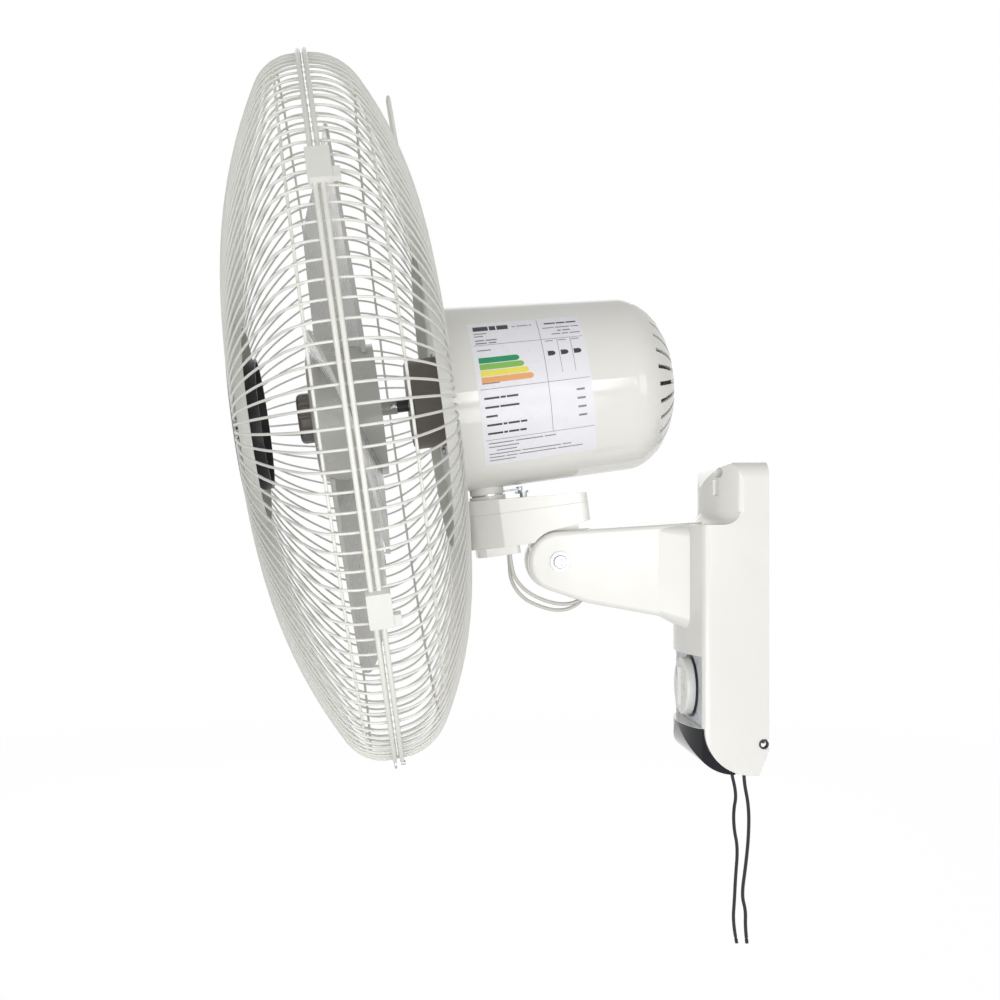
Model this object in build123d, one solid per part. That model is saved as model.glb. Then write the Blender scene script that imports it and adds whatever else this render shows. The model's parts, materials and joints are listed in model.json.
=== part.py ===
from build123d import *

import math
import os

os.makedirs("parts", exist_ok=True)

# A wall mounted fan with a 500 mm rotor, in millimetres.
# +Z is up, the wall is the plane Y = 0 and the fan blows towards -Y.
# The origin is the middle of the wall plate's two screw holes, on the wall.

# ---------------------------------------------------------------- sizes
# Clearances
SEAT = 0.05
RUNNING = 0.05
EASY = 0.4

# Wall plate
PLATE_T = 2.0
PLATE_GAP = 0.3
PLATE_CORNER = 8.0
WALL_HOLE_SPACING = 140.0
WALL_HOLE_R = 2.75
TAB_W = 16.0
TAB_DEPTH = 12.0
TAB_FOOT = 9.0

# Base housing
HOUSING_H = 254.0
HOUSING_W = 96.0
HOUSING_SIDE_DEPTH = 53.0
HOUSING_DEPTH = 65.0
HOUSING_WALL = 3.0
UPPER_DEPTH = 45.0
UPPER_SIDE_DEPTH = 24.0
STEP_Z = 76.0
STEP_RADIUS = 10.0
TOP_RADIUS = 22.0
TOP_CORNER = 12.0
BROW_RADIUS = 9.0
CHIN_RADIUS = 38.0
CHEEK_RADIUS = 38.0
EDGE_RADIUS = 7.0
HEEL_DEPTH = 8.0
HEEL_HEIGHT = 20.5
FACE_SLOT_X = 27.5
FACE_SLOT_W = 6.0
FACE_SLOT_H = 13.5
FACE_SLOT_DROP = 14.0
FACE_SLOT_DEPTH = 2.0
TOP_NOTCH_X = 22.5
TOP_NOTCH_W = 5.0
TOP_NOTCH_BACK = 6.0
TOP_NOTCH_LENGTH = 8.0
TOP_NOTCH_DEPTH = 1.5

# Arm, moulded on the housing
ARM_W = 40.0
ARM_END_R = 25.0
ARM_ROOT_Y = -48.0
ARM_ROOT_TOP = 77.9
ARM_ROOT_BOTTOM = -6.6
ARM_KNEE_Y = -143.0
ARM_KNEE_Z = 11.1
ARM_WALL = 3.2
ARM_EDGE_RADIUS = 4.0
ARM_SLOT_W = 17.0
ARM_SLOT_RELIEF = 7.0
FLARE_LENGTH = 30.0
FLARE_W = 62.0
FLARE_LOW = -14.0
FLARE_NARROWING = 16.0
ARM_END_DROP = 20.0

# Control panel and window, let into the front of the housing
REBATE = 1.6
LEDGE = 4.0
PANEL_W = 88.0
PANEL_H = 58.0
PANEL_GAP = 0.2
WINDOW_GAP = 0.8
WINDOW_SKIRT = 1.6
DIAL_Z = -60.0
DIAL_RING_R = 26.0
DIAL_RING_T = 1.0
DIAL_RING_BORE_R = 20.0

# Speed knob and its switch
KNOB_R = 24.0
KNOB_DEPTH = 7.5
KNOB_WALL = 2.2
KNOB_LIFT = 1.5
KNOB_HUB_R = 6.0
KNOB_EDGE = 2.0
GRIP_EDGE = 2.5
GRIP_W = 7.0
GRIP_LENGTH = 34.0
GRIP_LIFT = 3.0
SWITCH_R = 17.0
SWITCH_DEPTH = 22.0
SWITCH_SHAFT_R = 3.0
SWITCH_BUSH_WALL = 2.0
SWITCH_NUT_R = 7.5
SWITCH_NUT_T = 2.0

# Pull cords and their switches
CORD_R = 1.45
CORD_X = 20.0
CORD_Y = -13.0
BEAD_R = 4.0
BEAD_Z = -97.0
PULL_ROD_R = 1.5
PULL_SWITCH_W = 22.0
PULL_SWITCH_H = 30.0
PULL_SWITCH_DEPTH = 20.0
EYELET_R = 4.8
EYELET_WALL = 1.0
EYELET_DEPTH = 4.0
EYELET_BORE_R = 2.2
EYELET_LIP = 1.2

# Electrics on the wall plate
CAPACITOR_W = 32.0
CAPACITOR_H = 44.0
CAPACITOR_DEPTH = 20.0
CAPACITOR_RIGHT = -6.0
CAPACITOR_LOW = -22.0
CAPACITOR_EDGE = 3.0
TERMINAL_W = 34.0
TERMINAL_H = 16.0
TERMINAL_DEPTH = 14.0
TERMINAL_LEFT = 4.0
TERMINAL_WAYS = 4
TERMINAL_HOLE_R = 2.2
TERMINAL_HOLE_DEPTH = 5.0
GLAND_R = 4.0
GLAND_BORE_R = 2.6
GLAND_Y = -4.3
GLAND_LIFT = 4.7

# Small screws
SCREW_R = 1.75
SCREW_HEAD_R = 4.0
SCREW_HEAD_T = 2.4
CASE_SCREW_X = 30.0
CASE_SCREW_DROP = 8.5
CASE_SCREW_SEAT = -20.6
CASE_BOSS_R = 6.5
FLOOR_SCREW_Y = -16.0

# Tilt pivot
PIVOT_Y = -167.0
PIVOT_Z = 45.5
REST_TILT = 7.8
BOLT_R = 4.0
BOLT_FLANGE_R = 8.0
BOLT_FLANGE_T = 2.2
BOLT_HEAD_R = 5.6
BOLT_HEAD_T = 2.6
CROSS_W = 1.6
NUT_R = 7.5
NUT_T = 6.5
TONGUE_W = 15.0
TONGUE_R = 21.0
FRICTION_WASHER_R = 17.0

# Neck, in its own level frame with its origin at the tilt pivot
NECK_W = 60.0
NECK_BACK = 29.0
NECK_TOP = 59.0
NECK_TOP_FALL = 5.3
NECK_SPLIT = 46.0
NECK_FLOOR = 18.5
NECK_WALL = 3.0
NECK_BACK_RADIUS = 7.0
NOSE_R = 20.0
NOSE_SHOULDER = 4.0
ARM_CLEARANCE = 2.0
BELLY_DROP = 7.0
BELLY_FRONT = -65.0
BELLY_BACK = -30.0
BELLY_W = 34.0
BELLY_CORNER = 5.0
BELLY_INSET = 1.5
NECK_STEP_Y = -31.0
NECK_REAR_FLOOR = 33.0
NECK_HEEL_Y = -8.0
NECK_HEEL_RUN = 4.0
NECK_HEEL_RISE = 7.2
NECK_BACK_RISE = 13.4
LEAD_R = 1.5
LEAD_X = 3.0
LEAD_HOLE_R = 2.2
LEAD_START_Y = -38.0
LEAD_WINDOW_W = 13.0
LEAD_WINDOW_TOP = 34.0

# Swing axis and its drive
SWING_Y = -50.0
POST_R = 6.0
POST_GROOVE_DEPTH = 1.5
POST_GROOVE_W = 4.8
POST_REACH = 17.0
POST_FOOT = 6.0
POST_COLUMN_WALL = 5.0
POST_END_GAP = 0.6
PAD_R = 15.0
PAD_TOP = 61.0
WASHER_T = 1.2
WASHER_R = 13.0
BOSS_R = 14.0
CRANK_Y = -20.0
CRANK_R = 22.0
LEVER_R = 25.0
CRANK_LOW = 59.6
STRIP_T = 1.8
CRANK_HALF_W = 4.5
LINK_LOW = 62.2
LINK_HALF_W = 2.6
LINK_EYE_R = 4.4
LINK_PIN_R = 1.6
LINK_PLAY = 1.0
LUG_TOP_DROP = 63.5
LUG_T = 3.6
LUG_HALF_W = 3.2
KEEPER_SCREW_LIFT = 11.0
DRIVE_R = 24.0
DRIVE_H = 14.0
DRIVE_OFFSET = 18.0
DRIVE_SHAFT_R = 3.0

# Fan axis, above the tilt pivot, and the plane between the two rim rings
AXIS_HEIGHT = 144.0
RIM_FORWARD = 152.2

# Motor housing, along the fan axis from the rim plane
BARREL_FRONT = 79.0
BARREL_LENGTH = 144.8
BARREL_R = 77.2
BARREL_BACK_R = 71.8
BARREL_DROP = 5.0
BARREL_LEAD = 20.0
BARREL_WALL = 2.5
DOME_DEPTH = 45.0
VENTS = 28
VENT_W = 3.2
VENT_INNER_R = 33.0
VENT_OUTER_R = 63.0

# Motor
BELL_NOSE_R = 37.0
BELL_NOSE_FRONT = 48.0
BELL_NOSE_CHAMFER = 3.0
BELL_WALL = 4.0
BELL_SEAT_T = 3.0
BELL_FACE_R = 69.0
BELL_FLANGE_T = 3.5
BELL_FLANGE_FIT = 0.35
SKIRT_R = 58.0
SKIRT_LENGTH = 52.8
SKIRT_WALL = 7.0
STATOR_FRONT = 128.0
STATOR_LENGTH = 36.0
ROTOR_R = 28.0
AIR_GAP = 0.4
WINDING_LENGTH = 16.0
WINDING_GAP = 1.0
REAR_BELL_T = 5.0
REAR_BELL_FACE = 192.0
SHAFT_R = 4.0
BEARING_R = 9.0
BEARING_W = 12.0
TIE_R = 2.0
TIE_LUG_R = 4.5
TIE_CIRCLE_R = 61.5
TIES = 4

# Guard
WIRES = 132
WIRE_R = 0.95
WIRE_SIDES = 8
MESH_R = 281.0
RIM_TUBE_R = 1.7
RIM_SPACING = 5.2
FRONT_STRAIGHT = 7.0
FRONT_SHOULDER_R = 34.5
FRONT_DEPTH = 86.5
FRONT_PLATE_R = 80.0
REAR_STRAIGHT = 2.0
REAR_SHOULDER_R = 44.0
REAR_DEPTH = 77.2
REAR_PLATE_R = 121.0
GUARD_PLATE_T = 1.2
GUARD_PLATE_RIM = 9.0
RING_TUBE_R = 1.1
FRONT_RING_ANGLE = 26.0
REAR_RING_ANGLE = 61.5
WIRE_OVERLAP = 11.0
GUARD_SCREWS = 4
GUARD_SCREW_CIRCLE_R = 56.0
LOOP_TUBE_R = 1.5
LOOP_INSET = 76.0
LOOP_LENGTH = 48.0
LOOP_STAND = 13.0

# Badge on the front guard
BADGE_R = 75.0
BADGE_T = 2.6
BADGE_BOSS_R = 66.0

# Rim clips
CLIPS_AT = (30.0, 150.0, 210.0, 330.0)
CLIP_LENGTH = 27.0
CLIP_FRONT = 6.6
CLIP_BACK = 9.5
CLIP_WALL = 3.7
CLIP_HOLD = 1.2
CLIP_FOOT_LENGTH = 9.0
CLIP_FOOT_REACH = 5.0
KEEPER_W = 12.0
KEEPER_T = 1.0
KEEPER_EAR_T = 3.0
KEEPER_SCREW_OUT = 5.5
KEEPER_EAR_OUT = 10.0

# Rotor
TIP_GAP = 34.0
HUB_R = 54.0
HUB_FRONT = -31.0
HUB_BACK = 24.4
HUB_WALL = 3.0
HUB_EDGE_RADIUS = 7.0
HUB_BOSS_R = 13.0
HUB_TAIL_R = 5.8
HUB_TAIL = 38.0
HUB_RIBS = 6
HUB_RIB_HALF_T = 1.2
BLADES = 3
BLADE_TURN = -9.0
ROOT_HALF_CHORD = 46.0
TIP_HALF_CHORD = 81.0
ROOT_TRAIL = -27.0
ROOT_LEAD = 19.0
TIP_TRAIL = -22.0
TIP_LEAD = 11.5
ROOT_CAMBER = 6.0
TIP_CAMBER = 8.7
ROOT_THICKNESS = 4.0
TIP_THICKNESS = 2.4
TIP_CORNER = 26.0
SPINNER_R = 20.5
SPINNER_FRONT = -42.6
SPINNER_LENGTH = 18.0
SPINNER_EDGE = 4.0
SPINNER_FLUTES = 12
SPINNER_FLUTE_R = 2.0
SLEEVE_R = 5.0
DRIVE_PIN_R = 1.5
DRIVE_PIN_HALF = 10.0
ROOT_X = 30.0

# ---------------------------------------------------------------- places
HALF_H = HOUSING_H / 2
HALF_W = HOUSING_W / 2
PLATE_FRONT = -PLATE_T
PANEL_TOP = DIAL_Z + PANEL_H / 2
PANEL_BOTTOM = DIAL_Z - PANEL_H / 2
WINDOW_TOP = PANEL_BOTTOM - WINDOW_GAP
FASCIA_FACE = -HOUSING_SIDE_DEPTH
FASCIA_BACK = FASCIA_FACE + REBATE
CHEEK_Y = CHEEK_RADIUS - HOUSING_SIDE_DEPTH
CHEEK_Z = CHEEK_RADIUS - HOUSING_H / 2
KNOB_BACK = FASCIA_FACE - KNOB_LIFT
KNOB_FACE = KNOB_BACK - KNOB_DEPTH
BUSH_R = SWITCH_SHAFT_R + SWITCH_BUSH_WALL
CASE_SCREW_Z = HALF_H - CASE_SCREW_DROP
GLAND_Z = HEEL_HEIGHT - HALF_H + GLAND_LIFT
PULL_SWITCH_LOW = BEAD_Z + BEAD_R + 1.0
ARM_NEAR = ARM_W / 2
ARM_SLOT_END = PIVOT_Y + TONGUE_R + ARM_SLOT_RELIEF
ARM_HOLLOW_END = ARM_SLOT_END + ARM_WALL

NECK = Pos(0, PIVOT_Y, PIVOT_Z) * Rot(REST_TILT, 0, 0)
HEAD = NECK * Pos(0, -RIM_FORWARD, AXIS_HEIGHT)
BARREL = Pos(0, BARREL_FRONT, 0) * Rot(-math.degrees(math.atan(BARREL_DROP / BARREL_LENGTH)), 0, 0)
SWING_S = SWING_Y + RIM_FORWARD
BOSS_LOW = PAD_TOP + WASHER_T + SEAT - AXIS_HEIGHT
KEEPER_SCREW_U = BOSS_LOW + KEEPER_SCREW_LIFT
BELL_FLANGE_R = BARREL_R - BARREL_WALL - BELL_FLANGE_FIT
FLANGE_FRONT = BARREL_FRONT + SEAT
FLANGE_BACK = FLANGE_FRONT + BELL_FLANGE_T
FRONT_BEARING = BELL_NOSE_FRONT + BELL_SEAT_T
BEARING_SEAT_R = BEARING_R + SEAT
SHAFT_HOLE_R = SHAFT_R + 1.5
STATOR_BACK = STATOR_FRONT + STATOR_LENGTH

RIM_R = MESH_R + WIRE_R + SEAT + RIM_TUBE_R
RIM_HALF = RIM_SPACING / 2
KEEPER_SCREW_R = RIM_R + RIM_TUBE_R + SEAT + KEEPER_SCREW_OUT
CLIP_INNER_R = RIM_R - CLIP_HOLD
CLIP_OUTER_R = RIM_R + RIM_TUBE_R + CLIP_WALL
LOOP_FOOT_R = MESH_R - LOOP_INSET
TIP_R = MESH_R - TIP_GAP


def dome_radius(straight, shoulder, depth, flat):
    """Radius of a guard's dome, from its straight, its shoulder and its full depth."""
    across = MESH_R - shoulder - flat
    rise = depth - straight
    return (rise**2 + across**2 - shoulder**2) / (2 * (rise - shoulder))


FRONT_DOME_R = dome_radius(FRONT_STRAIGHT, FRONT_SHOULDER_R, FRONT_DEPTH, FRONT_PLATE_R)
REAR_DOME_R = dome_radius(REAR_STRAIGHT, REAR_SHOULDER_R, REAR_DEPTH, REAR_PLATE_R)
FRONT_PLATE_FACE = FRONT_DEPTH - WIRE_R - SEAT
REAR_PLATE_FACE = REAR_DEPTH - WIRE_R - SEAT


# ---------------------------------------------------------------- helpers
def rod_x(radius, left, right, y=0.0, z=0.0):
    """A round rod along X."""
    return Pos((left + right) / 2, y, z) * Rot(0, 90, 0) * Cylinder(radius, right - left)


def rod_y(radius, front, back, x=0.0, z=0.0):
    """A round rod along Y."""
    return Pos(x, (front + back) / 2, z) * Rot(90, 0, 0) * Cylinder(radius, back - front)


def rod_z(radius, low, high, x=0.0, y=0.0):
    """A round rod along Z."""
    return Pos(x, y, (low + high) / 2) * Cylinder(radius, high - low)


def block(left, right, front, back, low, high):
    """A box between two X, two Y and two Z places."""
    middle = Pos((left + right) / 2, (front + back) / 2, (low + high) / 2)
    return middle * Box(right - left, back - front, high - low)


def outline(*corners):
    """A closed face through corners given as (across, up, corner radius)."""
    points = [(across, up) for across, up, _ in corners]
    radii = [radius for _, _, radius in corners]
    return make_face(FilletPolyline(*points, radius=radii, close=True))


def turned(*points):
    """A solid of revolution about Y from (radius, y) points."""
    return revolve(make_face(Polyline(*points, close=True)), Axis.Y)


def ring_y(outer, inner, front, back):
    """A ring about the Y axis."""
    return turned((inner, front), (outer, front), (outer, back), (inner, back))


def around(solid, count, first=0.0):
    """Copies of a solid about the Y axis."""
    return [Rot(0, first + k * 360 / count, 0) * solid for k in range(count)]


def solids_of(*shapes):
    """The separate solids of several shapes, as one group."""
    return Compound(children=[solid for shape in shapes for solid in shape.solids()])


def tube_along(radius, points):
    """A cord's tube: straight runs joined by tangent arcs, and its printed facts."""
    route = [Vector(*p) for p in points]
    runs = [route[k + 1] - route[k] for k in range(len(route) - 1)]
    radii = []
    for before, after in zip(runs, runs[1:]):
        half_turn = math.radians(before.get_angle(after)) / 2
        shorter = min(before.length, after.length)
        radii.append(0.45 * shorter / math.tan(half_turn))
    path = FilletPolyline(*points, radius=radii)
    start = Plane(origin=path @ 0, z_dir=path % 0)
    tube = sweep(start * Circle(radius), path)
    share = tube.volume / (math.pi * radius**2 * path.length)
    print(f"cord {path.length:.1f} mm, radii {min(radii):.1f} to {max(radii):.1f}, volume {share:.4f}")
    return tube


# ---------------------------------------------------------------- wall unit
def bowed_plan(inset, depth, side_depth):
    """A column over a plan with straight sides and a bowed front."""
    half = HALF_W - inset
    edge = inset - side_depth
    plan = make_face(
        [
            Line((-half, inset), (-half, edge)),
            ThreePointArc((-half, edge), (0, inset - depth), (half, edge)),
            Line((half, edge), (half, inset)),
            Line((half, inset), (-half, inset)),
        ]
    )
    front_corners = plan.vertices().filter_by(lambda v: v.Y < edge + 0.01)
    return extrude(fillet(front_corners, EDGE_RADIUS - inset), HALF_H, both=True)


def step_blend(inset):
    """The hollow blend from the ledge up to the bowed upper front."""
    crown = UPPER_DEPTH - UPPER_SIDE_DEPTH
    bow = (HALF_W**2 + crown**2) / (2 * crown)
    reach = bow + STEP_RADIUS
    top = STEP_Z + STEP_RADIUS
    lean = (STEP_RADIUS + inset) * math.sqrt(0.5)
    face = make_face(
        [
            Line((bow - EDGE_RADIUS, STEP_Z - inset - 1), (reach, STEP_Z - inset - 1)),
            Line((reach, STEP_Z - inset - 1), (reach, STEP_Z - inset)),
            ThreePointArc((reach, STEP_Z - inset), (reach - lean, top - lean), (bow - inset, top)),
            Line((bow - inset, top), (bow - EDGE_RADIUS, top)),
            Line((bow - EDGE_RADIUS, top), (bow - EDGE_RADIUS, STEP_Z - inset - 1)),
        ]
    )
    blend = Pos(0, bow - UPPER_DEPTH, 0) * revolve(Plane.XZ * face, Axis.Z)
    return blend & bowed_plan(inset, HOUSING_DEPTH, HOUSING_SIDE_DEPTH)


def cheek_waste(inset, start):
    """What the low front corners lose beyond the cheeks, outside X = start."""
    end = HALF_W + 1
    corner = block(start, end, -HOUSING_DEPTH - 1, CHEEK_Y, -HALF_H - 1, CHEEK_Z)
    corner = corner - rod_x(CHEEK_RADIUS - inset, start - 1, end + 1, CHEEK_Y, CHEEK_Z)
    return corner + mirror(corner, Plane.YZ)


def housing_form(inset):
    """The housing's outer form, or the form that lies an inset inside it."""
    top = HALF_H - inset
    ledge = STEP_Z - inset
    low_side = outline(
        (inset, ledge, 0),
        (inset - HOUSING_DEPTH, ledge, BROW_RADIUS - inset),
        (inset - HOUSING_DEPTH, inset - HALF_H, CHIN_RADIUS - inset),
        (-HEEL_DEPTH, inset - HALF_H, 0),
        (inset, inset - HALF_H + HEEL_HEIGHT, 0),
    )
    high_side = outline(
        (inset, ledge - 1, 0),
        (inset - UPPER_DEPTH, ledge - 1, 0),
        (inset - UPPER_DEPTH, top, TOP_RADIUS - inset),
        (inset, top, 0),
    )
    low = extrude(Plane.YZ * low_side, HALF_W, both=True)
    low = low & bowed_plan(inset, HOUSING_DEPTH, HOUSING_SIDE_DEPTH)
    high = extrude(Plane.YZ * high_side, HALF_W, both=True)
    high = high & bowed_plan(inset, UPPER_DEPTH, UPPER_SIDE_DEPTH)
    half = HALF_W - inset
    front = outline(
        (-half, inset - HALF_H, 0),
        (half, inset - HALF_H, 0),
        (half, top, TOP_CORNER - inset),
        (-half, top, TOP_CORNER - inset),
    )
    return (low + high + step_blend(inset)) & extrude(Plane.XZ * front, 2 * HOUSING_DEPTH, both=True)


def arm_side(inset, end):
    """The arm's side outline behind a given end, inset inside its walls."""
    root = ARM_ROOT_Y
    fall = (ARM_KNEE_Z - ARM_ROOT_BOTTOM) / (root - ARM_KNEE_Y)
    rise = (ARM_ROOT_TOP - PIVOT_Z - ARM_END_R) / (root - PIVOT_Y)
    top_at_end = PIVOT_Z + ARM_END_R + rise * (end - PIVOT_Y) - inset
    bottom_at_end = ARM_KNEE_Z - fall * (end - ARM_KNEE_Y) + inset
    return make_face(
        Polyline(
            (root + inset, ARM_ROOT_TOP - inset),
            (end, top_at_end),
            (end, bottom_at_end),
            (root + inset, ARM_ROOT_BOTTOM + inset),
            close=True,
        )
    )


def arm_form():
    """The arm with its round end and rounded edges."""
    drop = math.radians(ARM_END_DROP)
    below = (PIVOT_Y - ARM_END_R * math.sin(drop), PIVOT_Z - ARM_END_R * math.cos(drop))
    face = make_face(
        Polyline(
            (ARM_ROOT_Y, ARM_ROOT_TOP),
            (PIVOT_Y, PIVOT_Z + ARM_END_R),
            below,
            (ARM_KNEE_Y, ARM_KNEE_Z),
            (ARM_ROOT_Y, ARM_ROOT_BOTTOM),
            close=True,
        )
    )
    face = face + Pos(PIVOT_Y, PIVOT_Z) * Circle(ARM_END_R)
    arm = extrude(Plane.YZ * face, ARM_W / 2, both=True)
    sides = arm.faces().filter_by(Axis.X)
    rims = [edge for side in sides for edge in side.edges()]
    inside = HOUSING_WALL - HOUSING_DEPTH
    rims = [edge for edge in rims if edge.center().Y < inside - 0.1]
    return fillet(rims, ARM_EDGE_RADIUS)


def arm_flare():
    """The arm's root, which widens where it meets the housing."""
    back = BROW_RADIUS - HOUSING_DEPTH
    front = back - FLARE_LENGTH
    thin_top = PIVOT_Z + ARM_END_R + 3
    thin_low = FLARE_LOW + FLARE_NARROWING
    wide_top = STEP_Z
    wide_low = FLARE_LOW
    sections = []
    for y, width, low, high, corner in (
        (front, ARM_W - 1, thin_low, thin_top, ARM_EDGE_RADIUS),
        (back, FLARE_W, wide_low, wide_top, 3 * ARM_EDGE_RADIUS),
    ):
        plane = Plane(origin=(0, y, (low + high) / 2), x_dir=(1, 0, 0), z_dir=(0, 1, 0))
        sections.append(plane * RectangleRounded(width, high - low, corner))
    return loft(sections)


def fascia_room(grow, back):
    """The room of the control fascia, open to the front."""
    half = PANEL_W / 2 + grow
    return block(-half, half, -HOUSING_DEPTH - 5, back, PANEL_BOTTOM - grow, PANEL_TOP + grow)


def window_box(grow):
    """The room of the smoked window, open to the front and below."""
    half = PANEL_W / 2 + grow
    back = -HOUSING_DEPTH + CHIN_RADIUS + grow
    return block(-half, half, -HOUSING_DEPTH - 5, back, -HALF_H - 1, WINDOW_TOP + grow)


def window_opening():
    """The hole behind the window, inside the ledge that it rests on."""
    half = PANEL_W / 2 - LEDGE
    back = -HOUSING_DEPTH + CHIN_RADIUS - LEDGE
    lip = block(-half - 1, half + 1, back - 12, back + 1, -HALF_H - 2, -HALF_H + REBATE + 1.6)
    return block(-half, half, -HOUSING_DEPTH - 5, back, -HALF_H - 1, WINDOW_TOP - LEDGE) - lip


def face_slot():
    """The room of the shallow slot beside the upper case screw, open to the front."""
    left = FACE_SLOT_X - FACE_SLOT_W / 2
    high = HALF_H - FACE_SLOT_DROP
    return block(left, left + FACE_SLOT_W, -UPPER_DEPTH, -UPPER_SIDE_DEPTH, high - FACE_SLOT_H, high)


def top_notch():
    """The room of the small notch in the housing's top edge."""
    left = TOP_NOTCH_X - TOP_NOTCH_W / 2
    front = -TOP_NOTCH_BACK - TOP_NOTCH_LENGTH
    return block(left, left + TOP_NOTCH_W, front, -TOP_NOTCH_BACK, HALF_H - TOP_NOTCH_DEPTH, HALF_H + 1)


def base_housing():
    """The glossy shell with its arm: one moulding, open at the back."""
    skirt_start = PANEL_W / 2 - WINDOW_SKIRT - PANEL_GAP
    outer = housing_form(0) - cheek_waste(0, skirt_start)
    inner = housing_form(HOUSING_WALL) - cheek_waste(HOUSING_WALL, skirt_start - HOUSING_WALL)
    inner = inner - fascia_room(PANEL_GAP + HOUSING_WALL, FASCIA_BACK + HOUSING_WALL)
    shell = outer + arm_form() + arm_flare()
    open_back = block(
        HOUSING_WALL - HALF_W,
        HALF_W - HOUSING_WALL,
        -PLATE_T - 4,
        1,
        HOUSING_WALL + HEEL_HEIGHT - HALF_H,
        HALF_H - HOUSING_WALL - TOP_CORNER,
    )
    high_back = block(
        HOUSING_WALL + TOP_CORNER - HALF_W,
        HALF_W - HOUSING_WALL - TOP_CORNER,
        -PLATE_T - 4,
        1,
        0,
        HALF_H - HOUSING_WALL,
    )
    for side in (-1, 1):
        across = side * (HALF_W - TOP_CORNER)
        corner = rod_y(TOP_CORNER - HOUSING_WALL, -PLATE_T - 4, 1, across, HALF_H - TOP_CORNER)
        high_back = high_back + corner
    shell = shell - inner - open_back - high_back
    # the arm is hollow from the housing as far as the fork
    hollow_half = ARM_W / 2 - ARM_WALL
    shell = shell - extrude(Plane.YZ * arm_side(ARM_WALL, ARM_HOLLOW_END), hollow_half, both=True)
    slot = block(
        -ARM_SLOT_W / 2,
        ARM_SLOT_W / 2,
        PIVOT_Y - ARM_END_R - 5,
        ARM_SLOT_END,
        PIVOT_Z - ARM_END_R - 20,
        PIVOT_Z + ARM_END_R + 20,
    )
    shell = shell - slot
    shell = shell - rod_x(BOLT_R + RUNNING, -HALF_W, HALF_W, PIVOT_Y, PIVOT_Z)
    # the leads come up between the fork's cheeks and pass through a window in its web
    shell = shell - block(
        -LEAD_WINDOW_W / 2,
        LEAD_WINDOW_W / 2,
        ARM_SLOT_END - 1,
        ARM_HOLLOW_END + 1,
        ARM_KNEE_Z + ARM_WALL,
        LEAD_WINDOW_TOP,
    )
    # the control fascia sits in a recess, the window in a rebate
    shell = shell - fascia_room(PANEL_GAP, FASCIA_BACK)
    shell = shell - fascia_room(-LEDGE, FASCIA_BACK + HOUSING_WALL + 1)
    shell = shell - (window_box(PANEL_GAP) - housing_form(REBATE))
    shell = shell - window_opening()
    # the two case screws
    boss = rod_y(CASE_BOSS_R, -UPPER_DEPTH, PLATE_FRONT - SEAT, CASE_SCREW_X, CASE_SCREW_Z)
    shell = shell + (boss & outer)
    well_r = SCREW_HEAD_R + EASY
    shell = shell - rod_y(well_r, -UPPER_DEPTH - 5, CASE_SCREW_SEAT, CASE_SCREW_X, CASE_SCREW_Z)
    shell = shell - rod_y(SCREW_R + SEAT, -UPPER_DEPTH, 1, CASE_SCREW_X, CASE_SCREW_Z)
    shell = shell - rod_z(SCREW_R + SEAT, -HALF_H - 5, -HALF_H + 5, 0, FLOOR_SCREW_Y)
    # eyelet holes, the slots by the top and the notch for the mains gland
    for x in (-CORD_X, CORD_X):
        shell = shell - rod_z(EYELET_R - EYELET_WALL, -HALF_H - 5, -HALF_H + 8, x, CORD_Y)
    shell = shell - (face_slot() - housing_form(FACE_SLOT_DEPTH)) - top_notch()
    gland = rod_x(GLAND_R + SEAT, HALF_W - 6, HALF_W + 6, GLAND_Y, GLAND_Z)
    mouth = block(HALF_W - 6, HALF_W + 6, GLAND_Y, 1, GLAND_Z - GLAND_R, GLAND_Z + GLAND_R)
    return shell - gland - mouth


def wall_plate():
    """Steel plate screwed to the wall, with a tab for the lower case screw."""
    half = HALF_W - HOUSING_WALL - PLATE_GAP
    top = HALF_H - HOUSING_WALL - PLATE_GAP
    low = HEEL_HEIGHT + HOUSING_WALL + PLATE_GAP - HALF_H
    face = outline(
        (-half, low, PLATE_CORNER),
        (half, low, PLATE_CORNER),
        (half, top, TOP_CORNER - HOUSING_WALL),
        (-half, top, TOP_CORNER - HOUSING_WALL),
    )
    plate = extrude(Plane.XZ * face, PLATE_T)
    tab_low = HOUSING_WALL - HALF_H + SEAT
    tab_half = TAB_W / 2
    leg_back = -TAB_DEPTH + PLATE_T
    plate = plate + block(-tab_half, tab_half, -TAB_DEPTH, 0, low, low + PLATE_T)
    plate = plate + block(-tab_half, tab_half, -TAB_DEPTH, leg_back, tab_low, low + PLATE_T)
    plate = plate + block(-tab_half, tab_half, -TAB_DEPTH - TAB_FOOT, leg_back, tab_low, tab_low + PLATE_T)
    for z in (-WALL_HOLE_SPACING / 2, WALL_HOLE_SPACING / 2):
        plate = plate - rod_y(WALL_HOLE_R, -10, 10, 0, z)
    plate = plate - rod_y(SCREW_R + SEAT, -10, 10, CASE_SCREW_X, CASE_SCREW_Z)
    return plate - rod_z(SCREW_R + SEAT, tab_low - 1, tab_low + PLATE_T + 1, 0, FLOOR_SCREW_Y)


def cross_cut(depth, size):
    """A cross recess in a head whose face is the plane Z = 0."""
    return Box(size, CROSS_W, 2 * depth) + Box(CROSS_W, size, 2 * depth)


def screw(length, head_r=SCREW_HEAD_R, head_t=SCREW_HEAD_T, shank_r=SCREW_R):
    """A pan head screw: its seat is Z = 0, its head above, its shank below."""
    head = Pos(0, 0, head_t / 2) * Cylinder(head_r, head_t)
    head = fillet(head.edges().group_by(Axis.Z)[-1], 0.4 * head_t)
    shank = Pos(0, 0, -length / 2) * Cylinder(shank_r, length)
    return head + shank - Pos(0, 0, head_t) * cross_cut(0.5 * head_t, 1.2 * head_r)


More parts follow.
